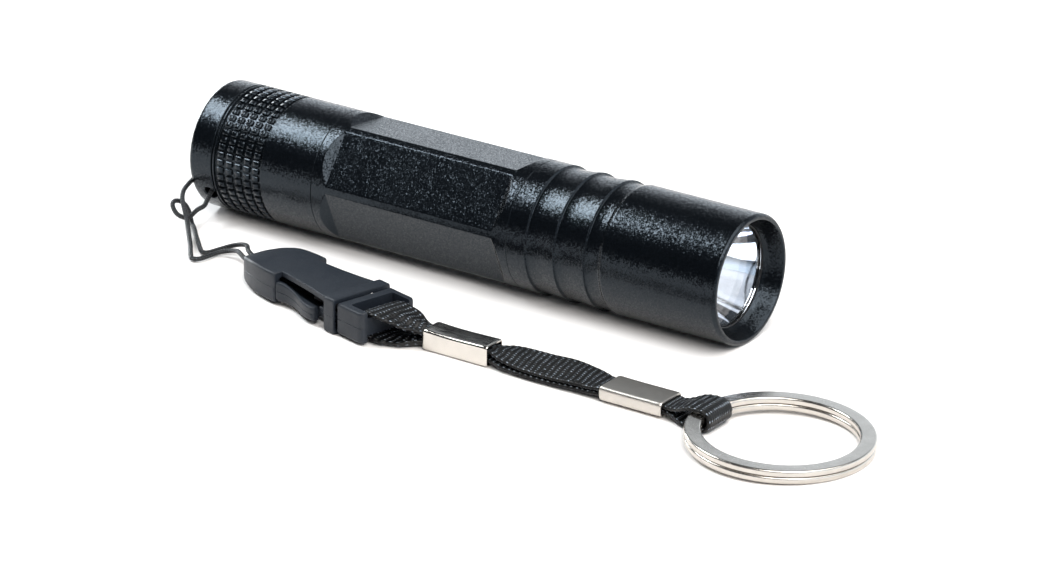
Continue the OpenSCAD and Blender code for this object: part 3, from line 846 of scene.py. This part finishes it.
class FLASHLIGHT_OT_webbing(bpy.types.Operator):
    """Make the ribbed webbing: one endless band, doubled between the buckle's bar and the split ring"""
    bl_idname = "flashlight.webbing"
    bl_label = "Webbing"

    def execute(self, context):
        sizes = context.scene.flashlight_sizes
        pitch = sizes.rib_pitch / MM
        run = smooth_line(WEBBING_RUN, pitch / ROWS_PER_RIB)
        count = (len(run) - 1) // ROWS_PER_RIB * ROWS_PER_RIB
        along = np.linspace(0, len(run) - 1, count, endpoint=False)
        run = np.stack([np.interp(along, np.arange(len(run)), run[:, k]) for k in (0, 1)], axis=1)
        across = np.linspace(-1, 1, 21)
        sections, places = [], []
        length_mm = count * pitch / ROWS_PER_RIB
        for i, (x, z) in enumerate(run):
            dx, dz = run[(i + 1) % count] - run[i - 1]
            yaw = math.radians(eased(WEBBING_YAW, x))
            ahead = Vector((dx * math.cos(yaw), dx * math.sin(yaw), dz)).normalized()
            side = Vector((-math.sin(yaw), math.cos(yaw), 0))
            lean = math.radians(eased(WEBBING_ROLL, x))
            side = side * math.cos(lean) + Vector((0, 0, math.sin(lean)))
            up = ahead.cross(side)
            half, fold = eased(WEBBING_HALF, x), eased(WEBBING_FOLD, x)
            rib = 0.5 + 0.5 * math.cos(2 * math.pi * i / ROWS_PER_RIB)
            flow = 0.5 * math.sin(x * 0.45) + 0.2 * math.sin(x * 1.1)
            middle = Vector((x, eased(WEBBING_Y, x), z))
            section = []
            for face in (1, -1):
                for q in across[::face]:
                    edge = (1 - abs(q) ** 10) ** 0.5
                    thick = (WEBBING_T / 2 - 0.05 + 0.09 * rib) * (0.12 + 0.88 * edge)
                    wave = fold * math.cos(1.6 * math.pi * q + flow)
                    section.append(middle + side * (half * q) + up * (face * thick) + Vector((0, 0, wave)))
                    places.append((q * WEBBING_FLAT_HALF * MM, i * pitch / ROWS_PER_RIB * MM, 0,
                                   length_mm * MM))
            sections.append(section)
        strap = with_weave("webbing_strap", loft(sections, loop=True), places)
        settle(strap, finishes()["webbing"], None, "black_nylon", "strap_webbing", "strap_loop")
        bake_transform(strap)
        return {"FINISHED"}


# ---- Crimps and split ring ----
def sleeve(name, x, sides, heights, wall, radius, dent, material, node):
    """A folded metal sleeve with round corners, its broad faces pressed in between its ends."""
    (y0, y1), (z0, z1) = sides, heights
    places = np.concatenate([[0, 0.012, 0.035], np.linspace(0.08, 0.92, 9), [0.965, 0.988, 1]])
    lips = [0.1, 0.03, 0] + [0] * 9 + [0, 0.03, 0.1]
    outer, inner = [], []
    for f, lip in zip(places, lips):
        at = x[0] + (x[1] - x[0]) * f
        press = dent * math.sin(math.pi * f) ** 1.5
        wave = 0.5 * dent * math.sin(2.4 * math.pi * f)
        outer.append(box_section(at, (y0 + lip, y1 - lip), (z0 + lip, z1 - lip - press - wave * 0.3), radius))
        inner.append(box_section(at, (y0 + wall, y1 - wall), (z0 + wall, z1 - wall - press), radius * 0.5))
    verts, faces = loft(outer + inner[::-1], loop=True)
    obj = shaded(new_object(name, (verts, faces)), 50)
    return settle(obj, material, "tail", "nickel_plate", node)


class FLASHLIGHT_OT_crimps(bpy.types.Operator):
    """Make the two metal sleeves that hold the doubled webbing together"""
    bl_idname = "flashlight.crimps"
    bl_label = "Crimps"

    def execute(self, context):
        for name, node, finish, radius, dent in (
                ("crimp_near_buckle", "crimp_buckle_end", "bright_nickel", 0.55, 0.16),
                ("crimp_near_ring", "crimp_ring_end", "satin_nickel", 0.7, 0.05)):
            low, high = (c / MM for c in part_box(node))
            sleeve(name, (low.x, high.x), (low.y, high.y), (low.z, high.z), 0.3, radius, dent,
                   finishes()[finish], node)
        return {"FINISHED"}


RING_TILT = 1.8


class FLASHLIGHT_OT_split_ring(bpy.types.Operator):
    """Make the split ring: a flattened wire wound twice, crossing over inside the webbing's loop"""
    bl_idname = "flashlight.split_ring"
    bl_label = "Split ring"

    def execute(self, context):
        low, high = (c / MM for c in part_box("split_ring"))
        centre = (low + high) / 2
        centre.z = 1.5
        outer = (high.y - low.y) / 2
        width, wire_h, lift = 2.45, 1.02, 0.535
        middle_r = outer - width / 2
        start, cross_from, cross_to, stop = 197, 525, 555, 883
        tilt = Matrix.Rotation(math.radians(RING_TILT), 3, "Y")
        sections = []
        for a in np.arange(start, stop + 0.1, 2):
            t = share(a, cross_from, cross_to)
            height = lift * (2 * t * t * (3 - 2 * t) - 1)
            end = min(a - start, stop - a)
            shrink = 0.12 if end < 0.1 else 0.0
            turn = Matrix.Rotation(math.radians(a), 3, "Z")
            flat = box_section(0, (middle_r - width / 2 + shrink, middle_r + width / 2 - shrink),
                               (height - wire_h / 2 + shrink, height + wire_h / 2 - shrink), 0.34)
            ring = [turn @ Vector((y, 0, z)) for _, y, z in flat]
            sections.append([centre + tilt @ p for p in ring])
        obj = shaded(new_object("key_ring", loft(sections)), 50)
        settle(obj, finishes()["ring_nickel"], "ring", "nickel_plate", "split_ring")
        return {"FINISHED"}


# ---- Buckle ----
# The nose's half width, top and underside, along the buckle
NOSE_HALF = [(0, 1.3), (0.25, 1.75), (0.9, 2.35), (2, 3.1), (3.2, 3.75), (4.6, 4.3), (6.4, 4.8), (8.4, 5.12),
             (10.4, 5.25), (12.15, 5.2)]
NOSE_TOP = [(0, 3.4), (0.8, 3.9), (3.2, 4.7), (5.5, 5.2), (7, 5.35), (13, 5.35)]
NOSE_LOW = [(0, 0.9), (0.8, 0.5), (1.6, 0.45), (13, 0.45)]
CASE_END = 24.7
CASE_Z = (0.45, 5.35)
PLATE = 0.95


def along_keys(keys, at):
    places, values = zip(*keys)
    return float(np.interp(at, places, values))


def bar(x, sides, heights, radius, end=0.25, seam=0.0):
    """A straight bar along X with round edges on every side."""
    sections = []
    (y0, y1), (z0, z1) = sides, heights
    for at, inset in ((x[0], end), (x[0] + end * 0.3, end * 0.3), (x[0] + end, 0), (x[1] - end, 0),
                      (x[1] - end * 0.3, end * 0.3), (x[1], end)):
        sections.append(box_section(at, (y0 + inset, y1 - inset), (z0 + inset, z1 - inset), radius, seam))
    return loft(sections)


def plate(half_widths, heights):
    """One of the socket's two plates, between its nose and its collar."""
    return loft([box_section(u, (-half, half), heights, 0.22) for u, half in half_widths])


def buckle_socket():
    """The socket: a domed nose, two plates that leave the prongs free at their sides, and a collar."""
    sections = []
    stations = [0, 0.1, 0.3, 0.7, 1.3, 2, 3, 4, 5.2, 6.4, 7.6, 8.8, 10, 11.1, 11.8, 12.02, 12.15]
    for u in stations:
        inset = {0: 0.5, 0.1: 0.2, 12.02: 0.06, 12.15: 0.22}.get(u, 0)
        half = along_keys(NOSE_HALF, u) - inset
        low, top = along_keys(NOSE_LOW, u) + inset * 0.5, along_keys(NOSE_TOP, u) - inset * 0.5
        sections.append(box_section(u, (-half, half), (low, top), 0.5, 0.06))
    body = new_object("buckle_case", in_buckle(loft(sections)))
    inside = (CASE_Z[0] + PLATE, CASE_Z[1] - PLATE)
    # Room behind the nose, the cord's tunnel, the two plates, the collar, its mouth and the way into it
    cut(body, in_buckle(bar((9, 14), (-4.2, 4.2), inside, 0.3, 0.3)))
    cut(body, in_buckle(bar((-2, 9.6), (-1.4, 1.4), (1.45, 3.2), 0.7, 0.2)))
    top = [(11, 3.55), (12.6, 3.7), (14.5, 3.8), (18, 4.1), (21, 4.5), (CASE_END, 5.1)]
    cut(body, in_buckle(plate(top, (inside[1], CASE_Z[1]))), "UNION")
    low = [(11, 2.4), (15.5, 2.5), (CASE_END, 4.2)]
    cut(body, in_buckle(plate(low, (CASE_Z[0], inside[0]))), "UNION")
    cut(body, in_buckle(bar((24.55, 27.0), (-5.6, 5.6), (0.0, 5.8), 0.6, 0.25, 0.05)), "UNION")
    cut(body, in_buckle(bar((24.9, 29), (-5.2, 5.2), (0.75, 5.05), 0.35, 0.1)))
    cut(body, in_buckle(bar((20, 26), (-4.1, 4.1), inside, 0.3, 0.3)))
    return body


def buckle_plug():
    """The plug: a frame with the webbing's bar across its open end, and the tongue between the prongs."""
    x0, x1, half, low, top = 27.5, 33.3, 5.3, 0.4, 5.4
    sections = []
    for u in (x0, x0 + 0.08, x0 + 0.25, 28.4, 30, 31.6, 32.2, 32.6, 32.9, 33.12, 33.24, x1):
        corner = min(max(0.0, u - 32.2) / 1.1, 1)
        inset = 0.8 * (1 - math.sqrt(1 - corner ** 2)) + (0.2 if u == x0 else 0.06 if u < 27.6 else 0)
        squeeze = 0.25 if u in (x0, x1) else 0.1 if u in (x0 + 0.08, 33.24) else 0
        sections.append(box_section(u, (-half + inset, half - inset), (low + squeeze, top - squeeze), 0.5,
                                    0.07))
    plug = new_object("buckle_frame", in_buckle(loft(sections)))
    # The opening, the webbing's bar across it, and the tongue
    cut(plug, in_buckle(bar((29.3, 35), (-4.05, 4.05), (-1, 7), 0.5, 0.3)))
    cut(plug, in_buckle(bar((31.4, 33.0), (-4.5, 4.5), (1.5, 4.3), 0.6, 0.05)), "UNION")
    cut(plug, in_buckle(bar((17, 28), (-1.6, 1.6), (1.7, 4.1), 0.4, 0.5)), "UNION")
    return plug


# A prong's outer and inner sides and its top, along the buckle
PRONG_OUT = [(12.3, 5.15), (12.8, 5.02), (13.6, 4.7), (14.4, 4.52), (15.2, 4.5), (16.2, 4.62), (17.4, 4.98),
             (18.6, 5.4), (19.8, 5.74), (20.8, 5.88), (21.6, 5.88), (22.0, 5.82), (22.22, 5.66), (22.3, 5.5)]
PRONG_IN = [(12.3, 3.95), (15, 3.85), (18, 4.15), (22.3, 4.6)]
PRONG_TOP = [(12.3, 4.2), (13.6, 3.9), (15, 3.5), (17, 3.2), (22.3, 3.05)]


def prong(name, hand):
    """One sprung prong: a finger pad with a hollow and a barb, on a thin neck."""
    sections = []
    for i, (u, out) in enumerate(PRONG_OUT):
        inner = along_keys(PRONG_IN, u)
        squeeze = (0.25, 0.08)[i] if i < 2 else (0.3 if i == len(PRONG_OUT) - 1 else 0)
        sides = sorted((hand * (inner + squeeze * 0.3), hand * (out - squeeze * 0.5)))
        sections.append(box_section(u, sides, (0.8 + squeeze, along_keys(PRONG_TOP, u) - squeeze), 0.4, 0.07))
    for u, z in ((22.3, 0.0), (24, 0.0), (27.1, 0.0), (27.4, 0.2)):
        sides = sorted((hand * 3.62, hand * 4.5))
        sections.append(box_section(u, sides, (1.7 + z, 3.0 - z), 0.25, 0.04))
    return new_object(name, in_buckle(loft(sections)))


class FLASHLIGHT_OT_buckle(bpy.types.Operator):
    """Make the side-release buckle: its socket, its plug and the two prongs"""
    bl_idname = "flashlight.buckle"
    bl_label = "Buckle"

    def execute(self, context):
        plastic = finishes()["buckle"]
        for obj, body, node in ((buckle_socket(), "tail", "buckle_socket"),
                                (buckle_plug(), "tail", "buckle_plug"),
                                (prong("prong_on_near_side", -1), "near_prong", "prong_near"),
                                (prong("prong_on_far_side", 1), "far_prong", "prong_far")):
            broken_edges(obj, 0.07 * MM, 50, 1)
            settle(shaded(obj, 40), plastic, body, "buckle_plastic", node)
        return {"FINISHED"}


# ---- Barrel ----
# Stations and radii of the turned parts, in millimetres
KNURL_START, KNURL_PITCH, KNURL_PAD, KNURL_CUT, KNURL_RINGS = 5.65, 1.73, 1.2, 0.35, 5
THREAD_R, BORE_R, TUBE_R = 8.7, 8.75, 7.45
RECESS_R, RECESS_END, WEB_END, SWITCH_END, BUTTON_HOLE = 7.2, 4.9, 6.5, 15.6, 5.5
CORD_HOLE_R, CORD_HOLE_X, CORD_HOLE_ANGLE = 1.1, 3.4, 31


def hole_tool():
    """A flared drill for the cord's hole, square to the tail cap's wall."""
    out = Vector((0, -math.cos(math.radians(CORD_HOLE_ANGLE)), -math.sin(math.radians(CORD_HOLE_ANGLE))))
    centre = Vector((TAIL_X + CORD_HOLE_X, 0, AXIS_Z))
    side, up = Vector((1, 0, 0)), out.cross(Vector((1, 0, 0)))
    sections = []
    for far, r in ((6, CORD_HOLE_R), (9.75, CORD_HOLE_R), (10.05, CORD_HOLE_R + 0.08),
                   (10.3, CORD_HOLE_R + 0.35), (11, CORD_HOLE_R + 1.05)):
        sections.append([centre + out * far + r * (side * math.cos(a) + up * math.sin(a))
                         for a in angles(32)])
    return loft(sections)


def pad(length_mm, width, height, name="pad"):
    """A small block with round top edges, whose top faces up from the origin."""
    edge = min(0.12, 0.3 * height)
    sections = []
    for x, inset in ((-length_mm / 2, edge), (-length_mm / 2 + edge, 0.0), (length_mm / 2 - edge, 0.0),
                     (length_mm / 2, edge)):
        top = -inset * 0.8
        w = width / 2 - inset * 0.8
        sections.append([(x, -w, -height), (x, -w, top - edge), (x, -w + edge, top),
                         (x, w - edge, top), (x, w, top - edge), (x, w, -height)])
    return new_object(name, loft(sections))


class FLASHLIGHT_OT_tail_cap(bpy.types.Operator):
    """Make the tail cap with its round rim, its knurled band and the cord's hole"""
    bl_idname = "flashlight.tail_cap"
    bl_label = "Tail cap"

    def execute(self, context):
        sizes = context.scene.flashlight_sizes
        e = sizes.edge / MM
        band = KNURL_START - (KNURL_PITCH - KNURL_PAD)
        band_end = KNURL_START + KNURL_RINGS * KNURL_PITCH
        low = BODY_R - KNURL_CUT
        corners = [
            (0, RECESS_R + 0.35, 0.3), (0, BODY_R, 0.95), (4.5, BODY_R, 0.1), (4.62, BODY_R - 0.3, 0.05),
            (4.75, BODY_R - 0.3, 0.05), (4.87, BODY_R, 0.1), (band - 0.02, BODY_R, 0.08),
            (band + 0.06, low, 0.05), (band_end - 0.1, low, 0.05), (band_end, BODY_R, 0.08),
            (TAIL_END, BODY_R, e), (TAIL_END, BORE_R, e), (SWITCH_END, BORE_R, 0.1), (SWITCH_END, 7.6, 0.1),
            (WEB_END, 7.6, 0.1), (WEB_END, BUTTON_HOLE, 0.15), (RECESS_END, BUTTON_HOLE, 0.2),
            (RECESS_END, RECESS_R, 0.35), (0.5, RECESS_R, 0.3)]
        cap = new_object("tail_shell", turned(outline(corners, 4), 160))
        cut(cap, hole_tool())
        settle(shaded(cap, 30), finishes()["anodised"], "tail", "anodised_black", "tail_cap")
        around = sizes.knurl_around
        width = 2 * math.pi * BODY_R / around - sizes.knurl_slit / MM
        block = pad(KNURL_PAD, width, KNURL_CUT + 0.08)
        pads = ring_array("knurl_pads", block, finishes()["anodised"], KNURL_RINGS, around,
                          KNURL_START + KNURL_PAD / 2, KNURL_PITCH, BODY_R - 0.02)
        settle(shaded(pads, 40), finishes()["anodised"], "tail", "anodised_black")
        return {"FINISHED"}


GRIP_ROLL, GRIP_FLAT, SHOULDER = 54.2, 9.15, 38.5
FLAT_START, FLAT_END = 26.9, 58.3
O_RING_TAIL, O_RING_HEAD = 22.6, 62.6


def grip_columns():
    """Places round the tube: (angle of the flat's middle, offset from it) on a flat, or None and an angle."""
    half = math.sqrt(BODY_R ** 2 - GRIP_FLAT ** 2)
    reach = math.degrees(math.asin(half / BODY_R))
    columns = []
    for k in range(6):
        middle = GRIP_ROLL + 60 * k
        columns += [(middle, v) for v in np.linspace(-half, half, 17)]
        columns += [(None, middle + reach + (60 - 2 * reach) * f) for f in (1 / 3, 2 / 3)]
    return columns


def grip_point(x, radius, column, flat=None):
    """A point of the tube's skin at a station, on a radius or, inside a flat, on its plane."""
    middle, v = column
    if middle is None:
        a = math.radians(v)
        return TAIL_X + x, -radius * math.sin(a), AXIS_Z + radius * math.cos(a)
    a = math.radians(middle)
    turn = math.asin(v / BODY_R)
    if flat is None:
        return TAIL_X + x, -radius * math.sin(a + turn), AXIS_Z + radius * math.cos(a + turn)
    y = -flat * math.sin(a) - v * math.cos(a)
    return TAIL_X + x, y, AXIS_Z + flat * math.cos(a) - v * math.sin(a)


def shoulder(column):
    """How far before the flat a shoulder meets the round tube."""
    middle, v = column
    if middle is None:
        return 0.0
    return (math.sqrt(BODY_R ** 2 - v ** 2) - GRIP_FLAT) / math.tan(math.radians(SHOULDER))


def thread_rows(start, turns, per_turn=8):
    """(station, share of the full depth) rows of a screw thread, which fades in and out over one turn."""
    return [(start + i / per_turn, min(1.0, i / per_turn, turns - i / per_turn))
            for i in range(turns * per_turn + 1)]


class FLASHLIGHT_OT_body_tube(bpy.types.Operator):
    """Make the body tube: its six-sided grip, its screw threads and its bore"""
    bl_idname = "flashlight.body_tube"
    bl_label = "Body tube"

    def execute(self, context):
        e = context.scene.flashlight_sizes.edge / MM
        columns = grip_columns()
        angles = [math.radians(v if m is None else m) + (0 if m is None else math.asin(v / BODY_R))
                  for m, v in columns]
        sections = []

        def ring(x, r):
            sections.append([grip_point(x, r, c) for c in columns])

        def threads(start, turns):
            for x, fade in thread_rows(start, turns):
                row = []
                for c, a in zip(columns, angles):
                    phase = (x - a / (2 * math.pi)) % 1.0
                    groove = max(0.0, 1 - abs(phase - 0.5) / 0.4)
                    row.append(grip_point(x, THREAD_R - 0.45 * fade * groove, c))
                sections.append(row)

        def groove(x):
            for at, r in ((x - 0.56, THREAD_R), (x - 0.54, 7.85), (x + 0.54, 7.85), (x + 0.56, THREAD_R)):
                ring(at, r)
        ring(TUBE_START, TUBE_R + 0.15)
        ring(TUBE_START, THREAD_R - 0.4)
        ring(TUBE_START + 0.35, THREAD_R)
        threads(TUBE_START + 0.5, 5)
        groove(O_RING_TAIL)
        tube_face, head_face = TAIL_END + 0.02, HEAD_START - 0.02
        ring(tube_face, THREAD_R)
        for t in (0, 0.3, 0.7, 1):
            ring(tube_face + e * t * t, BODY_R - e * (1 - t) ** 2)
        sections.append([grip_point(FLAT_START - shoulder(c), BODY_R, c) for c in columns])
        for x in (FLAT_START, FLAT_END):
            sections.append([grip_point(x, BODY_R, c, GRIP_FLAT) for c in columns])
        sections.append([grip_point(FLAT_END + shoulder(c), BODY_R, c) for c in columns])
        for t in (1, 0.7, 0.3, 0):
            ring(head_face - e * t * t, BODY_R - e * (1 - t) ** 2)
        ring(head_face, THREAD_R)
        groove(O_RING_HEAD)
        threads(O_RING_HEAD + 0.9, 5)
        ring(TUBE_END - 0.35, THREAD_R)
        ring(TUBE_END, THREAD_R - 0.4)
        ring(TUBE_END, TUBE_R + 0.15)
        ring(TUBE_END - 0.15, TUBE_R)
        ring(TUBE_START + 0.15, TUBE_R)
        tube = new_object("grip_tube", loft(sections, loop=True), 0.004 * MM)
        self.break_grip_edges(tube, 0.1 * MM)
        settle(shaded(tube, 34), finishes()["anodised"], "tube", "anodised_black", "body_tube")
        dress(finishes()["rubber"], "tail_o_ring", "head_o_ring")
        return {"FINISHED"}

    @staticmethod
    def break_grip_edges(tube, width):
        """Rounds only the edges of the flats and their shoulders."""
        bm = bmesh.new()
        bm.from_mesh(tube.data)
        low, high = ((TAIL_X + x) * MM for x in (TAIL_END + 0.4, HEAD_START - 0.4))
        edges = [edge for edge in bm.edges
                 if all(low < v.co.x < high for v in edge.verts) and len(edge.link_faces) == 2
                 and edge.calc_face_angle(0) > math.radians(11)]
        bmesh.ops.bevel(bm, geom=edges, offset=width, segments=2, profile=0.5, affect="EDGES",
                        clamp_overlap=True)
        bm.to_mesh(tube.data)
        bm.free()


HEAD_RINGS = (64.5, 69.7, 75.2)
# One ring's groove: a sharp step down and a slow way back, as (distance, share of the depth)
RING_CUT = [(0, 0), (0.14, 0.74), (0.5, 0.88), (1.4, 1.0), (2.6, 0.8)]
RING_DEPTH = 0.42
BEZEL_DEPTH, APERTURE_R = 3.0, 8.0


class FLASHLIGHT_OT_head(bpy.types.Operator):
    """Make the head: its three turned rings, its smooth barrel and the dished bezel"""
    bl_idname = "flashlight.head"
    bl_label = "Head"

    def execute(self, context):
        e = context.scene.flashlight_sizes.edge / MM
        face = RIM - BEZEL_DEPTH
        corners = [(HEAD_START, BORE_R, 0.1), (HEAD_START, BODY_R, e)]
        for x in HEAD_RINGS:
            for run, deep in RING_CUT:
                edge = 0.05 if run == 0 else 0.07 if run < 1 else 0.5
                corners.append((x + run, BODY_R - RING_DEPTH * deep, edge))
        corners += [(78.3, BODY_R, 0.35), (RIM - 0.42, BODY_R, 0.25), (RIM, BODY_R - 0.35, 0.14),
                    (RIM, 9.37, 0.14), (face + 1.9, 8.95, 0.3), (face + 0.6, 8.45, 0.3),
                    (face, APERTURE_R, 0.12), (face, BORE_R, 0.05)]
        shell = new_object("head_barrel", turned(outline(corners, 4), 192))
        settle(shaded(shell, 30), finishes()["anodised"], "head", "anodised_black", "head_shell")
        return {"FINISHED"}


# ---- Optics, driver, switch, cell ----
def revolved(name, corners, material, body, slot, node, around=96, steps=4):
    """A solid turned piece whose outline starts and ends on the axis."""
    obj = new_object(name, turned(outline(corners, steps, closed=False), around, closed=False))
    return settle(shaded(obj, 30), material, body, slot, node)


class FLASHLIGHT_OT_optics(bpy.types.Operator):
    """Make the lens, its gasket, the reflector and the light-emitting diode"""
    bl_idname = "flashlight.optics"
    bl_label = "Optics"

    def execute(self, context):
        looks = finishes()
        revolved("lens_glass", [(LENS_BACK, 0, 0), (LENS_BACK, THREAD_R, 0.15), (LENS_FRONT, THREAD_R, 0.15),
                                (LENS_FRONT, 0, 0)], looks["glass"], "head", "clear_lens", "lens", 128)
        dress(looks["rubber"], "lens_gasket")
        depth = MIRROR_FRONT - MIRROR_BACK + 0.2
        floor_x, hole, wall = MIRROR_FRONT - depth, 2.6, 0.9
        radii = np.linspace(hole, APERTURE_R, 40)

        def bowl(r):
            return floor_x + depth * (r / APERTURE_R) ** 2
        points = [(MIRROR_BACK, hole)] + [(bowl(r), r) for r in radii]
        points += [(MIRROR_FRONT, 8.1), (MIRROR_FRONT, 8.35), (MIRROR_FRONT - 0.05, 8.4),
                   (MIRROR_FRONT - 1.2, 8.4)]
        points += [(bowl(r) - 0.3, r + wall) for r in radii[::-1][4:-3]] + [(MIRROR_BACK, 4.6)]
        bowl_piece = new_object("reflector_bowl", turned(points, 192))
        settle(shaded(bowl_piece, 30), looks["mirror"], "led_module", "mirror_coat", "reflector")
        base = BOARD_FRONT + 0.01
        block = pad(0.7, 3.45, 3.45, "led_carrier")
        for v in block.data.vertices:
            v.co += Vector(((TAIL_X + base + 0.35) * MM, 0, (AXIS_Z + 1.725) * MM))
        settle(shaded(block, 30), looks["ceramic"], "led_module", "white_plastic", "led_package")
        r, x = 1.25, base + 0.71
        dome = [(x - 0.02, 0, 0), (x - 0.02, r, 0.02)]
        dome += [(x + r * math.sin(a), r * math.cos(a), 0) for a in np.radians(np.arange(6, 90, 7))]
        revolved("led_lens", dome + [(x + r, 0, 0)], looks["phosphor"], "led_module", "phosphor", "led_dome")
        dress(looks["ceramic"], "led_board")
        return {"FINISHED"}


class FLASHLIGHT_OT_driver(bpy.types.Operator):
    """Make the brass pill, the driver board with its parts, and the spring that touches the cell"""
    bl_idname = "flashlight.driver"
    bl_label = "Driver"

    def execute(self, context):
        looks = finishes()
        dress(looks["brass"], "led_pill")
        dress(looks["green_board"], "driver_board")
        back = station(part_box("driver_board")[0].x)
        chip = pad(0.5, 1.6, 0.9, "chip")
        chip.data.transform(Matrix.Rotation(math.radians(-90), 4, "Y"))
        chips = ring_array("driver_parts", chip, looks["dark_plastic"], 1, 5, back - 0.02, 0, 5.1, 0.4)
        settle(shaded(chips, 40), looks["dark_plastic"], "led_module", "buckle_plastic")
        low, high = (station(c.x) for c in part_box("driver_spring"))
        self.coil("driver_coil", high, low, 3.6, 2.0, "led_module", "driver_spring", context)
        low, high = (station(c.x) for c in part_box("tail_spring"))
        self.coil("tail_coil", low, high, 4.6, 3.2, "tail", "tail_spring", context)
        return {"FINISHED"}

    @staticmethod
    def coil(name, wide_end, narrow_end, wide, narrow, body, node, context):
        """A conical contact spring from its wide end to its narrow end."""
        wire = context.scene.flashlight_sizes.spring_wire
        tree = bpy.data.node_groups.get("coil") or coil_tree()
        hand = 1 if narrow_end > wide_end else -1
        start = (TAIL_X + wide_end) * MM + hand * wire / 2
        run = (narrow_end - wide_end) * MM - hand * wire
        obj = from_tree(name, tree, {
            "Turns": 3.5, "Start radius": wide * MM, "End radius": narrow * MM, "Length": run, "Wire": wire,
            "Start": (start, 0, AXIS_Z * MM), "Material": finishes()["spring"]})
        outwards(obj.data)
        settle(shaded(obj, 60), finishes()["spring"], body, "brass", node)


class FLASHLIGHT_OT_switch(bpy.types.Operator):
    """Make the rubber button and dress the clicking switch behind it"""
    bl_idname = "flashlight.switch"
    bl_label = "Switch"

    def execute(self, context):
        looks = finishes()
        low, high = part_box("button_pad")
        top, base, r = station(low.x), station(high.x), (high.z - low.z) / 2 / MM
        corners = [(top + 0.16, 0, 0), (top + 0.14, r * 0.3, 0.3), (top, r * 0.52, 0.3),
                   (top + 0.12, r * 0.74, 0.5), (top + 0.75, r * 0.95, 0.5), (top + 1.6, r, 0.4),
                   (base, r, 0.1), (base, 0, 0)]
        revolved("rubber_button", corners, looks["rubber"], "button", "black_rubber", "button_pad")
        dress(looks["rubber"], "boot_flange")
        dress(looks["dark_plastic"], "switch_housing")
        dress(looks["white_plastic"], "switch_plunger")
        dress(looks["aluminium"], "switch_ring")
        dress(looks["brass"], "contact_plate")
        return {"FINISHED"}


class FLASHLIGHT_OT_cell(bpy.types.Operator):
    """Make the cell in its shrink sleeve, with the contact nub at its positive end"""
    bl_idname = "flashlight.cell"
    bl_label = "Cell"

    def execute(self, context):
        looks = finishes()
        low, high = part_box("battery_can")
        r, end = (high.z - low.z) / 2 / MM, station(high.x)
        sleeve_corners = [(CELL_START + 0.12, 0, 0), (CELL_START + 0.12, 5.2, 0.2), (CELL_START, 5.6, 0.15),
                          (CELL_START, r, 0.6), (end, r, 0.6), (end, 5.4, 0.2), (end - 0.1, 5.2, 0.1),
                          (end - 0.1, 0, 0)]
        revolved("cell_in_sleeve", sleeve_corners, looks["sleeve"], "cell", "cell_wrap", "battery_can")
        nub = [(end - 0.1, 0, 0), (end - 0.1, 2.7, 0.05), (CELL_END, 2.7, 0.3), (CELL_END, 0, 0)]
        revolved("cell_nub", nub, looks["bright_nickel"], "cell", "nickel_plate", "battery_nub")
        return {"FINISHED"}


class FLASHLIGHT_PT_pieces(bpy.types.Panel):
    """Every piece of the flashlight, in the order of making"""
    bl_label = "Keychain flashlight"
    bl_idname = "FLASHLIGHT_PT_pieces"
    bl_space_type = "VIEW_3D"
    bl_region_type = "UI"
    bl_category = "Flashlight"

    def draw(self, context):
        layout = self.layout
        for group in (context.scene.flashlight_sizes, context.scene.flashlight_colours):
            column = layout.column(align=True)
            for name in group.__annotations__:
                column.prop(group, name)
        for operator in OPERATORS:
            layout.operator(operator.bl_idname)


OPERATORS = (FLASHLIGHT_OT_stage, FLASHLIGHT_OT_buckle, FLASHLIGHT_OT_cord, FLASHLIGHT_OT_crimps,
             FLASHLIGHT_OT_split_ring, FLASHLIGHT_OT_webbing, FLASHLIGHT_OT_tail_cap, FLASHLIGHT_OT_body_tube,
             FLASHLIGHT_OT_head, FLASHLIGHT_OT_optics, FLASHLIGHT_OT_driver, FLASHLIGHT_OT_switch,
             FLASHLIGHT_OT_cell)
CLASSES = (FlashlightSizes, FlashlightColours, *OPERATORS, FLASHLIGHT_PT_pieces)


def register():
    for cls in CLASSES:
        bpy.utils.register_class(cls)
    bpy.types.Scene.flashlight_sizes = bpy.props.PointerProperty(type=FlashlightSizes)
    bpy.types.Scene.flashlight_colours = bpy.props.PointerProperty(type=FlashlightColours)


def unregister():
    del bpy.types.Scene.flashlight_colours
    del bpy.types.Scene.flashlight_sizes
    for cls in reversed(CLASSES):
        bpy.utils.unregister_class(cls)


def main():
    register()
    for operator in OPERATORS:
        getattr(bpy.ops.flashlight, operator.bl_idname.split(".")[1])()


if __name__ == "__main__":
    main()
